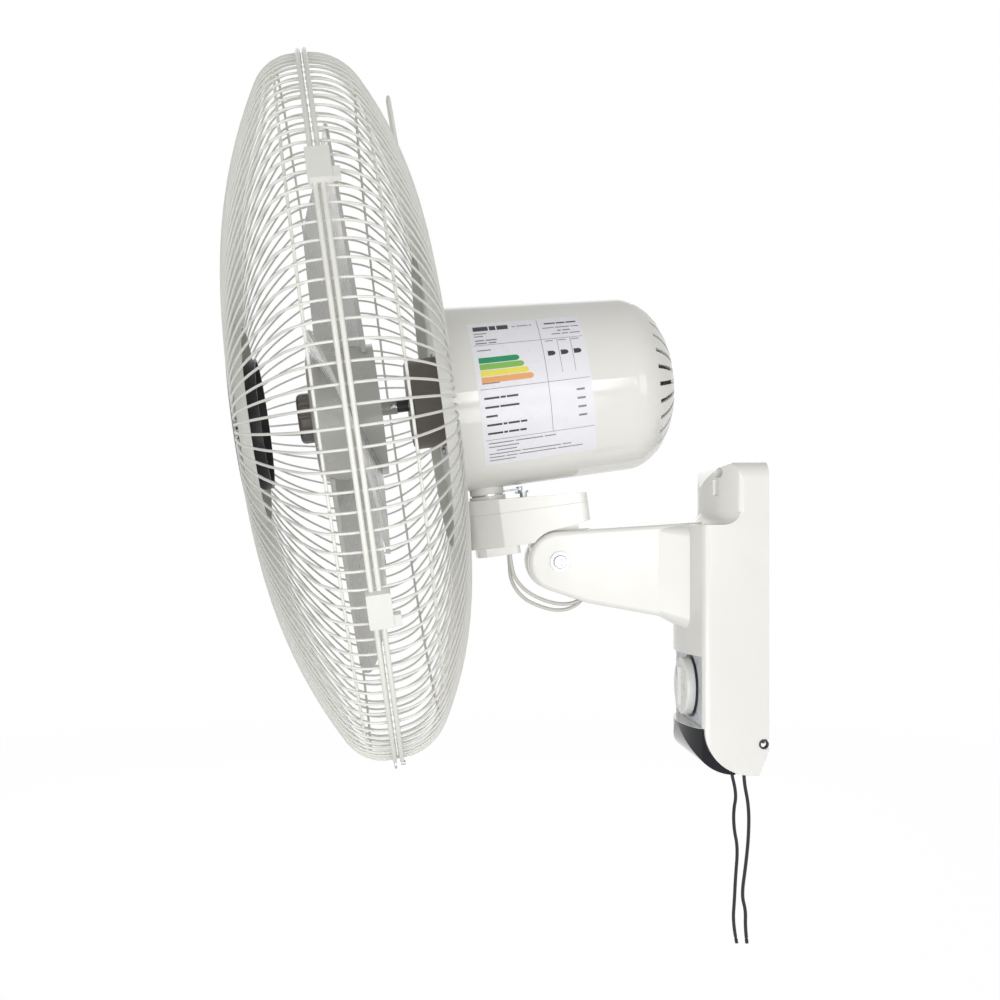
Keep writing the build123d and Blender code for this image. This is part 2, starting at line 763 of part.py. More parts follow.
def case_screws():
    """The screw in the upper well and the one under the floor."""
    upper = screw(-CASE_SCREW_SEAT - 0.5)
    front = Pos(CASE_SCREW_X, CASE_SCREW_SEAT, CASE_SCREW_Z) * Rot(90, 0, 0) * upper
    below = Pos(0, FLOOR_SCREW_Y, -HALF_H) * Rot(180, 0, 0) * screw(HOUSING_WALL + PLATE_T + 2)
    return solids_of(front, below)


def control_panel():
    """The flat fascia under the brow, with the hole for the switch's bush."""
    half = PANEL_W / 2
    panel = block(-half, half, FASCIA_FACE, FASCIA_BACK - SEAT, PANEL_BOTTOM, PANEL_TOP)
    return panel - rod_y(BUSH_R + SEAT, FASCIA_FACE - 1, FASCIA_BACK + 1, 0, DIAL_Z)


def dial_ring():
    """The black ring on the fascia, under the knob's edge."""
    front = FASCIA_FACE - SEAT - DIAL_RING_T
    ring = rod_y(DIAL_RING_R, front, FASCIA_FACE - SEAT, 0, DIAL_Z)
    return ring - rod_y(DIAL_RING_BORE_R, front - 1, FASCIA_FACE, 0, DIAL_Z)


def smoked_window():
    """The smoked strip under the fascia, bent round the chin, with side skirts."""
    room = housing_form(0) & window_box(0)
    skirts = room & cheek_waste(-SEAT, PANEL_W / 2 - WINDOW_SKIRT)
    return (room - housing_form(REBATE - SEAT)) + skirts


def rotary_switch():
    """Body behind the fascia, with its threaded bush."""
    body = rod_y(SWITCH_R, FASCIA_BACK + SEAT, FASCIA_BACK + SWITCH_DEPTH, 0, DIAL_Z)
    bush = rod_y(BUSH_R, FASCIA_FACE - SWITCH_NUT_T - 0.6, FASCIA_BACK + 1, 0, DIAL_Z)
    bore = rod_y(SWITCH_SHAFT_R + RUNNING, FASCIA_FACE - 10, FASCIA_BACK + SWITCH_DEPTH - 3, 0, DIAL_Z)
    return body + bush - bore


def switch_nut():
    """The nut that holds the switch's bush in the fascia."""
    nut_front = FASCIA_FACE - SWITCH_NUT_T
    hexagon = Plane(origin=(0, nut_front, DIAL_Z), x_dir=(1, 0, 0), z_dir=(0, 1, 0))
    nut = extrude(hexagon * RegularPolygon(SWITCH_NUT_R, 6), SWITCH_NUT_T - SEAT)
    return nut - rod_y(BUSH_R + SEAT, nut_front - 1, FASCIA_FACE + 1, 0, DIAL_Z)


def speed_knob():
    """A cup with a raised grip bar across its face and a hub on the shaft."""
    cup = rod_y(KNOB_R, KNOB_FACE, KNOB_BACK, 0, DIAL_Z)
    cup = fillet(cup.edges().sort_by(Axis.Y)[0], KNOB_EDGE)
    cup = cup - rod_y(KNOB_R - KNOB_WALL, KNOB_FACE + KNOB_WALL, KNOB_BACK + 1, 0, DIAL_Z)
    hub = rod_y(KNOB_HUB_R, KNOB_FACE + 1, FASCIA_FACE - SWITCH_NUT_T - 1.2, 0, DIAL_Z)
    grip = block(
        -GRIP_W / 2,
        GRIP_W / 2,
        KNOB_FACE - GRIP_LIFT,
        KNOB_FACE + 1,
        DIAL_Z - GRIP_LENGTH / 2,
        DIAL_Z + GRIP_LENGTH / 2,
    )
    grip = fillet(grip.edges().filter_by(Axis.Y), GRIP_EDGE)
    knob = cup + hub + grip
    return knob - rod_y(SWITCH_SHAFT_R + 0.02, KNOB_FACE + KNOB_WALL, KNOB_BACK + 1, 0, DIAL_Z)


def switch_shaft():
    """The shaft that the knob is pressed on."""
    front = KNOB_FACE + KNOB_WALL + 0.1
    return rod_y(SWITCH_SHAFT_R, front, FASCIA_BACK + SWITCH_DEPTH - 4, 0, DIAL_Z)


def pull_switches():
    """The bodies of the two pull switches, each over its cord."""
    bodies = []
    for x in (-CORD_X, CORD_X):
        body = block(
            x - PULL_SWITCH_W / 2,
            x + PULL_SWITCH_W / 2,
            PLATE_FRONT - SEAT - PULL_SWITCH_DEPTH,
            PLATE_FRONT - SEAT,
            PULL_SWITCH_LOW,
            PULL_SWITCH_LOW + PULL_SWITCH_H,
        )
        high = PULL_SWITCH_LOW + PULL_SWITCH_H - 3
        bodies.append(body - rod_z(PULL_ROD_R + EASY, PULL_SWITCH_LOW - 1, high, x, CORD_Y))
    return solids_of(*bodies)


def cord_eyelets():
    """The two eyelets in the floor that the cords run through."""
    rings = []
    for x in (-CORD_X, CORD_X):
        flange = rod_z(EYELET_R, -HALF_H - EYELET_LIP, -HALF_H - SEAT, x, CORD_Y)
        tube_r = EYELET_R - EYELET_WALL - SEAT
        tube = rod_z(tube_r, -HALF_H - EYELET_LIP, -HALF_H + EYELET_DEPTH, x, CORD_Y)
        bore = rod_z(EYELET_BORE_R, -HALF_H - 5, -HALF_H + 8, x, CORD_Y)
        rings.append(flange + tube - bore)
    return solids_of(*rings)


# Routes of the two pull cords, from the bead inside the housing to the bare end
SPEED_CORD = [
    (20.0, -13.0, -98.1),
    (20.1, -12.9, -117.0),
    (20.0, -13.0, -137.0),
    (20.3, -8.7, -158.0),
    (20.6, -8.9, -182.0),
    (20.2, -11.3, -207.0),
    (19.6, -14.7, -232.0),
    (20.1, -11.3, -244.6),
    (20.4, -11.9, -258.0),
    (20.2, -10.4, -271.7),
]
SWING_CORD = [
    (-20.0, -13.0, -98.1),
    (-20.1, -13.1, -117.0),
    (-20.0, -13.0, -136.0),
    (-20.4, -7.6, -157.0),
    (-20.7, -10.3, -171.0),
    (-20.3, -10.0, -187.0),
    (-19.8, -6.7, -203.0),
    (-20.2, -8.7, -229.0),
    (-20.6, -9.4, -247.0),
    (-20.3, -11.1, -268.0),
    (-20.0, -7.6, -284.9),
]


def pull_bead(x):
    """The bead that the cord is knotted into, on the switch's pull rod."""
    bead = Pos(x, CORD_Y, BEAD_Z) * Sphere(BEAD_R)
    rod_top = PULL_SWITCH_LOW + PULL_SWITCH_H - 6
    bead = bead + rod_z(PULL_ROD_R, BEAD_Z, rod_top, x, CORD_Y)
    return bead - rod_z(CORD_R + SEAT, BEAD_Z - BEAD_R - 1, BEAD_Z - 1, x, CORD_Y)


def pull_cord(route):
    """One pull cord, from its bead to its bare end."""
    return tube_along(CORD_R, route)


def capacitor():
    """The motor's capacitor in its moulded case."""
    left = CAPACITOR_RIGHT - CAPACITOR_W
    back = PLATE_FRONT - SEAT
    high = CAPACITOR_LOW + CAPACITOR_H
    case = block(left, CAPACITOR_RIGHT, back - CAPACITOR_DEPTH, back, CAPACITOR_LOW, high)
    return fillet(case.edges().filter_by(Axis.Z), CAPACITOR_EDGE)


def terminal_block():
    """The block that the mains lead and the motor's leads are screwed into."""
    back = PLATE_FRONT - SEAT
    front = back - TERMINAL_DEPTH
    half = TERMINAL_H / 2
    body = block(TERMINAL_LEFT, TERMINAL_LEFT + TERMINAL_W, front, back, -half, half)
    for k in range(TERMINAL_WAYS):
        x = TERMINAL_LEFT + TERMINAL_W * (k + 0.5) / TERMINAL_WAYS
        body = body - rod_y(TERMINAL_HOLE_R, front - 1, front + TERMINAL_HOLE_DEPTH, x, 0)
    return body


def mains_gland():
    """The rubber bush where the mains lead would leave the housing."""
    bush = rod_x(GLAND_R, HALF_W - HOUSING_WALL + SEAT, HALF_W + 0.6, GLAND_Y, GLAND_Z)
    return bush - rod_x(GLAND_BORE_R, HALF_W - 10, HALF_W + 5, GLAND_Y, GLAND_Z)


# ---------------------------------------------------------------- tilt pivot
def pivot_bolt():
    """A bolt with a wide flange and a cross recess on the arm's near side."""
    face = ARM_NEAR + SEAT + BOLT_FLANGE_T + BOLT_HEAD_T
    flange = rod_x(BOLT_FLANGE_R, ARM_NEAR + SEAT, ARM_NEAR + SEAT + BOLT_FLANGE_T)
    head = rod_x(BOLT_HEAD_R, ARM_NEAR + SEAT, face)
    head = fillet(head.edges().sort_by(Axis.X)[-1], 1.0)
    shank = rod_x(BOLT_R, -ARM_NEAR - NUT_T - 2.0, ARM_NEAR + 1)
    recess = Pos(face, 0, 0) * Rot(0, 90, 0) * cross_cut(1.4, 1.3 * BOLT_HEAD_R)
    return Pos(0, PIVOT_Y, PIVOT_Z) * (flange + head + shank - recess)


def pivot_nut():
    """The nut on the far end of the pivot bolt."""
    plane = Plane(origin=(-ARM_NEAR - SEAT, 0, 0), x_dir=(0, 1, 0), z_dir=(-1, 0, 0))
    nut = extrude(plane * RegularPolygon(NUT_R, 6), NUT_T)
    nut = nut - rod_x(BOLT_R + RUNNING, -ARM_NEAR - NUT_T - 5, -ARM_NEAR + 1)
    return Pos(0, PIVOT_Y, PIVOT_Z) * nut


def friction_washers():
    """One washer on each side of the tongue, inside the arm's fork."""
    inner = TONGUE_W / 2 + SEAT
    outer = ARM_SLOT_W / 2 - SEAT
    washers = []
    for left, right in ((-outer, -inner), (inner, outer)):
        washer = rod_x(FRICTION_WASHER_R, left, right) - rod_x(BOLT_R + RUNNING, left - 1, right + 1)
        washers.append(Pos(0, PIVOT_Y, PIVOT_Z) * washer)
    return solids_of(*washers)


# ---------------------------------------------------------------- neck
def neck_plan(inset):
    """The neck's plan: a round nose about the swing axis, then a square back."""
    half = NECK_W / 2 - inset
    front = SWING_Y + NOSE_SHOULDER
    back = NECK_BACK - inset
    nose = Pos(0, SWING_Y) * Circle(NOSE_R - inset)
    body = outline(
        (-half, front, 3),
        (half, front, 3),
        (half, back, NECK_BACK_RADIUS - inset),
        (-half, back, NECK_BACK_RADIUS - inset),
    )
    return make_hull(nose.edges() + body.edges())


def neck_column(inset):
    """A tall column over the neck's plan."""
    return extrude(neck_plan(inset), 2 * NECK_TOP)


def neck_top_at(y):
    """Height of the neck's sloping top."""
    front = SWING_Y - NOSE_R
    return NECK_TOP - NECK_TOP_FALL * (y - front) / (NECK_BACK - front)


def neck_side(low_front, low_back, high_front, high_back):
    """A slab across the neck between two sloping lines, as a solid."""
    front = SWING_Y - NOSE_R - 5
    back = NECK_BACK + 5
    face = make_face(
        Polyline((front, low_front), (back, low_back), (back, high_back), (front, high_front), close=True)
    )
    return extrude(Plane.YZ * face, NECK_W, both=True)


def lead_holes(low, high):
    """The two holes that the leads leave the neck through."""
    left = rod_z(LEAD_HOLE_R, low, high, -LEAD_X, LEAD_START_Y)
    return left + rod_z(LEAD_HOLE_R, low, high, LEAD_X, LEAD_START_Y)


def neck_frame():
    """The lower casting of the neck, with the tongue that tilts in the arm."""
    side = make_face(
        Polyline(
            (SWING_Y - NOSE_R - 5, NECK_FLOOR),
            (NECK_HEEL_Y - NECK_HEEL_RUN, NECK_FLOOR),
            (NECK_HEEL_Y, NECK_FLOOR + NECK_HEEL_RISE),
            (NECK_BACK + 5, NECK_FLOOR + NECK_BACK_RISE),
            (NECK_BACK + 5, NECK_SPLIT),
            (SWING_Y - NOSE_R - 5, NECK_SPLIT),
            close=True,
        )
    )
    body = extrude(Plane.YZ * side, NECK_W, both=True) & neck_column(0)
    tongue = extrude(
        Plane.YZ * (Circle(TONGUE_R) + Pos(0, TONGUE_R) * Rectangle(2 * TONGUE_R, 2 * TONGUE_R)),
        TONGUE_W / 2,
        both=True,
    )
    swept = rod_x(ARM_END_R + ARM_CLEARANCE, -NECK_W, NECK_W)
    tongue = tongue & block(-TONGUE_W, TONGUE_W, -TONGUE_R, TONGUE_R, -TONGUE_R, NECK_REAR_FLOOR + 1)
    body = body - swept + tongue
    inner = neck_column(NECK_WALL)
    front_pocket = block(
        -NECK_W, NECK_W, SWING_Y - NOSE_R, NECK_STEP_Y, NECK_FLOOR + NECK_WALL, NECK_SPLIT + 1
    )
    rear_pocket = block(-NECK_W, NECK_W, NECK_STEP_Y - 1, NECK_BACK, NECK_REAR_FLOOR, NECK_SPLIT + 1)
    body = body - (inner & (front_pocket + rear_pocket))
    # column that holds the swing post, and the hole for the leads
    column = rod_z(POST_R + POST_COLUMN_WALL, NECK_FLOOR + 1, NECK_SPLIT - 2, 0, SWING_Y)
    body = body + column
    body = body - rod_z(POST_R + 0.02, NECK_FLOOR + POST_FOOT, NECK_SPLIT, 0, SWING_Y)
    body = body - rod_x(BOLT_R + RUNNING, -NECK_W, NECK_W)
    return NECK * (body - lead_holes(NECK_FLOOR - 1, NECK_FLOOR + 8))


def neck_cover():
    """The upper shell of the neck; its top falls a little towards the wall."""
    outer = neck_column(0)
    inner = neck_column(NECK_WALL)
    wall = NECK_WALL
    front_top = neck_top_at(SWING_Y - NOSE_R - 5)
    back_top = neck_top_at(NECK_BACK + 5)
    slab = neck_side(NECK_SPLIT + SEAT, NECK_SPLIT + SEAT, front_top, back_top)
    hollow = neck_side(NECK_SPLIT - 1, NECK_SPLIT - 1, front_top - wall, back_top - wall)
    cover = (outer & slab) - (inner & hollow)
    pad = rod_z(PAD_R, neck_top_at(SWING_Y) - wall, PAD_TOP, 0, SWING_Y)
    cover = cover + pad
    cover = cover - rod_z(POST_R + RUNNING, NECK_SPLIT, PAD_TOP + 1, 0, SWING_Y)
    return NECK * (cover - rod_z(DRIVE_SHAFT_R + EASY, NECK_SPLIT, PAD_TOP, 0, CRANK_Y))


def neck_belly():
    """The cap under the front of the neck that closes the lead space."""
    face = outline(
        (-BELLY_W / 2, BELLY_FRONT, BELLY_CORNER),
        (BELLY_W / 2, BELLY_FRONT, BELLY_CORNER),
        (BELLY_W / 2, BELLY_BACK, BELLY_CORNER),
        (-BELLY_W / 2, BELLY_BACK, BELLY_CORNER),
    )
    low = NECK_FLOOR - BELLY_DROP
    cap = Pos(0, 0, low) * extrude(face, BELLY_DROP - SEAT)
    cap = cap & neck_column(BELLY_INSET)
    return NECK * (cap - lead_holes(low - 1, NECK_FLOOR + 1))


def swing_post():
    """The upright post that the head turns on, grooved for its keeper screw."""
    high = BOSS_LOW + AXIS_HEIGHT + POST_REACH
    post = rod_z(POST_R, NECK_FLOOR + POST_FOOT + 0.1, high, 0, SWING_Y)
    low = KEEPER_SCREW_U + AXIS_HEIGHT - POST_GROOVE_W / 2
    groove = rod_z(POST_R + 1, low, low + POST_GROOVE_W, 0, SWING_Y)
    groove = groove - rod_z(POST_R - POST_GROOVE_DEPTH, low - 1, low + POST_GROOVE_W + 1, 0, SWING_Y)
    return NECK * (post - groove)


def thrust_washer():
    """The washer that the head's boss turns on."""
    washer = rod_z(WASHER_R, PAD_TOP + SEAT / 2, PAD_TOP + WASHER_T, 0, SWING_Y)
    return NECK * (washer - rod_z(POST_R + RUNNING, PAD_TOP - 1, PAD_TOP + WASHER_T + 1, 0, SWING_Y))


def swing_motor():
    """The small gear motor that drives the crank, lying in the neck."""
    low = NECK_REAR_FLOOR + SEAT
    can = rod_z(DRIVE_R, low, low + DRIVE_H, 0, CRANK_Y + DRIVE_OFFSET)
    bore = rod_z(DRIVE_SHAFT_R + RUNNING, low + 3, low + DRIVE_H + 1, 0, CRANK_Y)
    return NECK * (can - bore)


def crank():
    """Crank arm on the gear motor's shaft, pointing to the far side at rest."""
    shaft = rod_z(DRIVE_SHAFT_R, NECK_REAR_FLOOR + 4, CRANK_LOW + STRIP_T, 0, CRANK_Y)
    arm = strip(0, CRANK_Y, -CRANK_R, CRANK_Y, CRANK_HALF_W, CRANK_LOW)
    pin_top = LINK_LOW + STRIP_T + 1.2
    pin = rod_z(LINK_PIN_R, CRANK_LOW, pin_top, -CRANK_R, CRANK_Y)
    cap = rod_z(LINK_PIN_R + 1.2, LINK_LOW + STRIP_T + 0.3, pin_top, -CRANK_R, CRANK_Y)
    return NECK * (shaft + arm + pin + cap)


def strip(x0, y0, x1, y1, half_width, low):
    """A flat strip with round ends between two points."""
    ends = Pos(x0, y0) * Circle(half_width) + Pos(x1, y1) * Circle(half_width)
    return Pos(0, 0, low) * extrude(make_hull(ends.edges()), STRIP_T)


def link():
    """Steel link from the crank pin to the head; its head eye has play."""
    body = strip(-CRANK_R, CRANK_Y, -LEVER_R, SWING_Y, LINK_HALF_W, LINK_LOW)
    body = body + rod_z(LINK_EYE_R, LINK_LOW, LINK_LOW + STRIP_T, -LEVER_R, SWING_Y)
    under = LINK_LOW - 1
    over = LINK_LOW + STRIP_T + 1
    body = body - rod_z(LINK_PIN_R + RUNNING, under, over, -CRANK_R, CRANK_Y)
    return NECK * (body - rod_z(LINK_PIN_R + LINK_PLAY, under, over, -LEVER_R, SWING_Y))


# Routes of the two leads, from the neck's belly to the hollow of the arm
LEADS = (
    [
        (3.0, -206.9, 57.0),
        (3.2, -205.6, 44.6),
        (4.0, -203.0, 32.0),
        (4.8, -193.6, 20.6),
        (4.6, -179.4, 13.0),
        (3.9, -164.0, 9.0),
        (3.3, -150.5, 10.6),
        (3.0, -138.6, 20.6),
        (3.2, -124.0, 27.6),
    ],
    [
        (-3.0, -206.9, 57.0),
        (-3.2, -206.2, 43.6),
        (-3.0, -205.0, 28.0),
        (-3.2, -195.0, 14.0),
        (-3.0, -180.0, 6.8),
        (-2.8, -165.0, 3.2),
        (-2.8, -151.0, 6.4),
        (-3.0, -139.8, 18.0),
        (-3.3, -126.0, 26.0),
    ],
)


def neck_leads():
    """The two leads that loop from the neck into the arm."""
    return solids_of(*[tube_along(LEAD_R, route) for route in LEADS])


# ---------------------------------------------------------------- head
def barrel_form(inset):
    """The motor housing's form: a tapered barrel that leans down, with a domed end."""
    narrowing = (BARREL_R - BARREL_BACK_R) / BARREL_LENGTH
    ahead = BARREL_R - inset + BARREL_LEAD * narrowing
    wide = BARREL_BACK_R - inset
    deep = DOME_DEPTH - inset
    side = make_face(
        [
            EllipticalCenterArc((0, BARREL_LENGTH), wide, deep, 0, arc_size=90),
            Line((0, BARREL_LENGTH + deep), (0, -BARREL_LEAD)),
            Line((0, -BARREL_LEAD), (ahead, -BARREL_LEAD)),
            Line((ahead, -BARREL_LEAD), (wide, BARREL_LENGTH)),
        ]
    )
    return BARREL * revolve(side, Axis.Y)


def motor_housing():
    """The glossy barrel with radial vents round its rear dome."""
    shell = barrel_form(0) - barrel_form(BARREL_WALL)
    wide = 2 * BARREL_R
    shell = shell - block(-wide, wide, BARREL_FRONT - wide, BARREL_FRONT, -wide, wide)
    back = BARREL_LENGTH + DOME_DEPTH
    slit = block(VENT_INNER_R, VENT_OUTER_R, BARREL_LENGTH, back, -VENT_W / 2, VENT_W / 2)
    shell = shell - BARREL * Compound(children=around(slit, VENTS, 180 / VENTS))
    shell = shell - rod_z(BOSS_R + EASY, -BARREL_R - 5, 0, 0, SWING_S)
    return HEAD * (shell - rod_z(LINK_PIN_R + 1.2, -BARREL_R - 5, 0, -LEVER_R, SWING_S))


def front_bell():
    """The motor's front casting: nose, face for the guard, flange and skirt."""
    body = turned(
        (0, BELL_NOSE_FRONT),
        (BELL_NOSE_R - BELL_NOSE_CHAMFER, BELL_NOSE_FRONT),
        (BELL_NOSE_R, BELL_NOSE_FRONT + BELL_NOSE_CHAMFER),
        (BELL_NOSE_R, REAR_PLATE_FACE),
        (BELL_FACE_R, REAR_PLATE_FACE),
        (BELL_FACE_R, FLANGE_FRONT),
        (BELL_FLANGE_R, FLANGE_FRONT),
        (BELL_FLANGE_R, FLANGE_BACK),
        (SKIRT_R, FLANGE_BACK),
        (SKIRT_R, FLANGE_BACK + SKIRT_LENGTH),
        (SKIRT_R - SKIRT_WALL, FLANGE_BACK + SKIRT_LENGTH),
        (SKIRT_R - SKIRT_WALL, FLANGE_FRONT),
        (BELL_NOSE_R - BELL_WALL, FLANGE_FRONT),
        (BELL_NOSE_R - BELL_WALL, REAR_PLATE_FACE),
        (BELL_NOSE_R - 2 * BELL_WALL, BELL_NOSE_FRONT + 2 * BELL_WALL),
        (BEARING_SEAT_R, BELL_NOSE_FRONT + 2 * BELL_WALL),
        (BEARING_SEAT_R, FRONT_BEARING),
        (SHAFT_HOLE_R, FRONT_BEARING),
        (SHAFT_HOLE_R, FRONT_BEARING - 1),
        (0, FRONT_BEARING - 1),
    )
    body = body + ring_y(BEARING_R + BELL_WALL, BEARING_SEAT_R, FRONT_BEARING, FRONT_BEARING + BEARING_W)
    body = body - rod_y(SHAFT_HOLE_R, BELL_NOSE_FRONT - 1, FRONT_BEARING + 1)
    tap = rod_y(SCREW_R + SEAT, REAR_PLATE_FACE - 1, REAR_PLATE_FACE + 9, GUARD_SCREW_CIRCLE_R)
    body = body - Compound(children=around(tap, GUARD_SCREWS, 45))
    tie = rod_y(TIE_R + SEAT, FLANGE_FRONT + 1, FLANGE_BACK + 1, TIE_CIRCLE_R)
    body = body - Compound(children=around(tie, TIES, 45))
    return HEAD * (body - (socket_boss(SEAT) - rod_y(SKIRT_R, 0, FLANGE_BACK + SKIRT_LENGTH)))


def stator():
    """The stack of laminations inside the skirt."""
    return HEAD * ring_y(
        SKIRT_R - SKIRT_WALL - SEAT, ROTOR_R + AIR_GAP, STATOR_FRONT, STATOR_FRONT + STATOR_LENGTH
    )


def windings():
    """The wound ends that stand out of the stator, front and rear."""
    outer = SKIRT_R - SKIRT_WALL - 4
    inner = ROTOR_R + 5
    front = STATOR_FRONT - SEAT
    back = STATOR_FRONT + STATOR_LENGTH + SEAT
    rings = []
    for low, high in ((front - WINDING_LENGTH, front), (back, back + WINDING_LENGTH)):
        ring = ring_y(outer, inner, low, high)
        outside = ring.edges().filter_by(GeomType.CIRCLE)
        end = outside.sort_by(Axis.Y)[:2] if high == front else outside.sort_by(Axis.Y)[-2:]
        rings.append(HEAD * fillet(end, 5))
    return solids_of(*rings)


def bearings():
    """The two bronze bearings of the shaft."""
    front = ring_y(BEARING_R, SHAFT_R + RUNNING, FRONT_BEARING, FRONT_BEARING + BEARING_W)
    back = ring_y(BEARING_R, SHAFT_R + RUNNING, REAR_BELL_FACE, REAR_BELL_FACE + BEARING_W)
    return solids_of(HEAD * front, HEAD * back)


def rear_bell():
    """The rear bracket: a skirt on the stator, a web and the rear bearing's seat."""
    skirt_front = STATOR_BACK - 10
    web_back = REAR_BELL_FACE + REAR_BELL_T
    body = turned(
        (SKIRT_R - SKIRT_WALL, skirt_front),
        (SKIRT_R, skirt_front),
        (SKIRT_R, web_back),
        (BEARING_SEAT_R, web_back),
        (BEARING_SEAT_R, REAR_BELL_FACE),
        (SKIRT_R - SKIRT_WALL, REAR_BELL_FACE),
    )
    body = body + ring_y(BEARING_R + BELL_WALL, BEARING_SEAT_R, REAR_BELL_FACE, REAR_BELL_FACE + BEARING_W)
    lug = rod_y(TIE_LUG_R, web_back - 6, web_back, TIE_CIRCLE_R)
    body = body + Compound(children=around(lug, TIES, 45))
    hole = rod_y(TIE_R + SEAT, web_back - 10, web_back + 5, TIE_CIRCLE_R)
    return HEAD * (body - Compound(children=around(hole, TIES, 45)))


def tie_bolts():
    """The four long screws that clamp the two bells together."""
    web_back = REAR_BELL_FACE + REAR_BELL_T
    shank = rod_y(TIE_R, FLANGE_FRONT + 1.15, web_back + 1, TIE_CIRCLE_R)
    head = rod_y(TIE_R + 1.6, web_back + SEAT, web_back + 3, TIE_CIRCLE_R)
    return HEAD * Compound(children=around(shank + head, TIES, 45))


def socket_boss(grow):
    """The round boss under the motor, which reaches up past the bell's skirt."""
    return rod_z(BOSS_R + grow, BOSS_LOW, -SKIRT_R + 8, 0, SWING_S)


def swing_socket():
    """The white boss under the motor that turns on the neck's post."""
    lug_low = -LUG_TOP_DROP - LUG_T
    lug = block(-LEVER_R, 0, SWING_S - LUG_HALF_W, SWING_S + LUG_HALF_W, lug_low, -LUG_TOP_DROP)
    lug = lug + rod_z(LUG_HALF_W, lug_low, -LUG_TOP_DROP, -LEVER_R, SWING_S)
    body = socket_boss(0) + lug
    body = body - rod_y(SKIRT_R + SEAT, 0, FLANGE_BACK + SKIRT_LENGTH)
    bore = rod_z(POST_R + RUNNING, BOSS_LOW - 1, BOSS_LOW + POST_REACH + POST_END_GAP, 0, SWING_S)
    keeper = rod_y(SCREW_R + SEAT, SWING_S, SWING_S + BOSS_R + 5, 0, KEEPER_SCREW_U)
    pin = rod_z(LINK_PIN_R + 0.02, lug_low - 1, -LUG_TOP_DROP - 1.5, -LEVER_R, SWING_S)
    return HEAD * (body - bore - keeper - pin)


def keeper_screw():
    """The set screw that keeps the head on its post."""
    tip = SWING_S + POST_R - POST_GROOVE_DEPTH + 0.4
    return HEAD * rod_y(SCREW_R, tip, SWING_S + BOSS_R - 0.5, 0, KEEPER_SCREW_U)


def link_pin():
    """The pin that the link's head eye rides on, with its clip."""
    eye_low = LINK_LOW - AXIS_HEIGHT
    pin = rod_z(LINK_PIN_R, eye_low - 1.4, -LUG_TOP_DROP - 1.6, -LEVER_R, SWING_S)
    clip = rod_z(LINK_PIN_R + LINK_PLAY + 0.5, eye_low - 1.4, eye_low - 0.5, -LEVER_R, SWING_S)
    return HEAD * (pin + clip)


# ---------------------------------------------------------------- guard
def wire_along(*runs):
    """A wire of many-sided section along joined runs in the plane Z = 0."""
    path = Wire(runs)
    start = Plane(origin=path @ 0, x_dir=(0, 0, 1), z_dir=path % 0)
    return sweep(start * RegularPolygon(WIRE_R, WIRE_SIDES), path)


def guard_wire(sign, straight, shoulder, dome, flat, depth):
    """One radial wire from the rim to the flat middle; sign -1 is the front.

    It comes in two lengths that meet at the knee, so that each keeps close to its hull.
    """
    rise = MESH_R - shoulder
    turn = math.atan2(math.sqrt((dome - shoulder) ** 2 - (rise - flat) ** 2), rise - flat)
    start = (MESH_R, sign * 0.4)
    foot = (MESH_R, sign * straight)
    knee = (rise + shoulder * math.cos(turn), sign * (straight + shoulder * math.sin(turn)))
    brow = (flat, sign * depth)
    end = (flat - WIRE_OVERLAP, sign * depth)
    shoulder_middle = (
        rise + shoulder * math.cos(turn / 2),
        sign * (straight + shoulder * math.sin(turn / 2)),
    )
    middle = (turn + math.pi / 2) / 2
    dome_middle = (
        flat + dome * math.cos(middle),
        sign * (depth - dome + dome * math.sin(middle)),
    )
    outer = wire_along(Line(start, foot), ThreePointArc(foot, shoulder_middle, knee))
    inner = wire_along(ThreePointArc(knee, dome_middle, brow), Line(brow, end))
    return outer, inner


def guard_wires(sign, straight, shoulder, dome, flat, depth):
    """All the wires of one half of the guard."""
    lengths = guard_wire(sign, straight, shoulder, dome, flat, depth)
    return HEAD * Compound(children=[copy for length in lengths for copy in around(length, WIRES)])


def guard_ring(sign, straight, shoulder, angle):
    """A support ring that lies inside the wires on their shoulder."""
    bend = math.radians(angle)
    inside = shoulder - WIRE_R - SEAT - RING_TUBE_R
    radius = MESH_R - shoulder + inside * math.cos(bend)
    place = Pos(0, sign * (straight + inside * math.sin(bend)), 0)
    return HEAD * place * Rot(90, 0, 0) * Torus(radius, RING_TUBE_R)


def rim_ring(sign):
    """The thick outer ring of one half of the guard."""
    return HEAD * Pos(0, sign * RIM_HALF, 0) * Rot(90, 0, 0) * Torus(RIM_R, RIM_TUBE_R)


def guard_plate(sign, radius, face, inner):
    """A pressed plate inside the wires' ends, with its rim turned inwards."""
    t = GUARD_PLATE_T
    points = [
        (inner, sign * face),
        (radius, sign * face),
        (radius, sign * (face - GUARD_PLATE_RIM)),
        (radius - t, sign * (face - GUARD_PLATE_RIM)),
        (radius - t, sign * (face - t)),
        (inner, sign * (face - t)),
    ]
    return turned(*points)


def front_guard_plate():
    """The plate under the badge."""
    plate = guard_plate(-1, FRONT_PLATE_R, FRONT_PLATE_FACE, 0.0)
    return HEAD * (plate - rod_y(SCREW_R + SEAT, -FRONT_DEPTH - 5, -FRONT_DEPTH + 10))


def rear_guard_plate():
    """The plate that is screwed to the motor's front casting."""
    plate = guard_plate(1, REAR_PLATE_R, REAR_PLATE_FACE, BELL_NOSE_R + SEAT)
    hole = rod_y(SCREW_R + 0.3, REAR_DEPTH - 10, REAR_DEPTH + 5, GUARD_SCREW_CIRCLE_R)
    return HEAD * (plate - Compound(children=around(hole, GUARD_SCREWS, 45)))


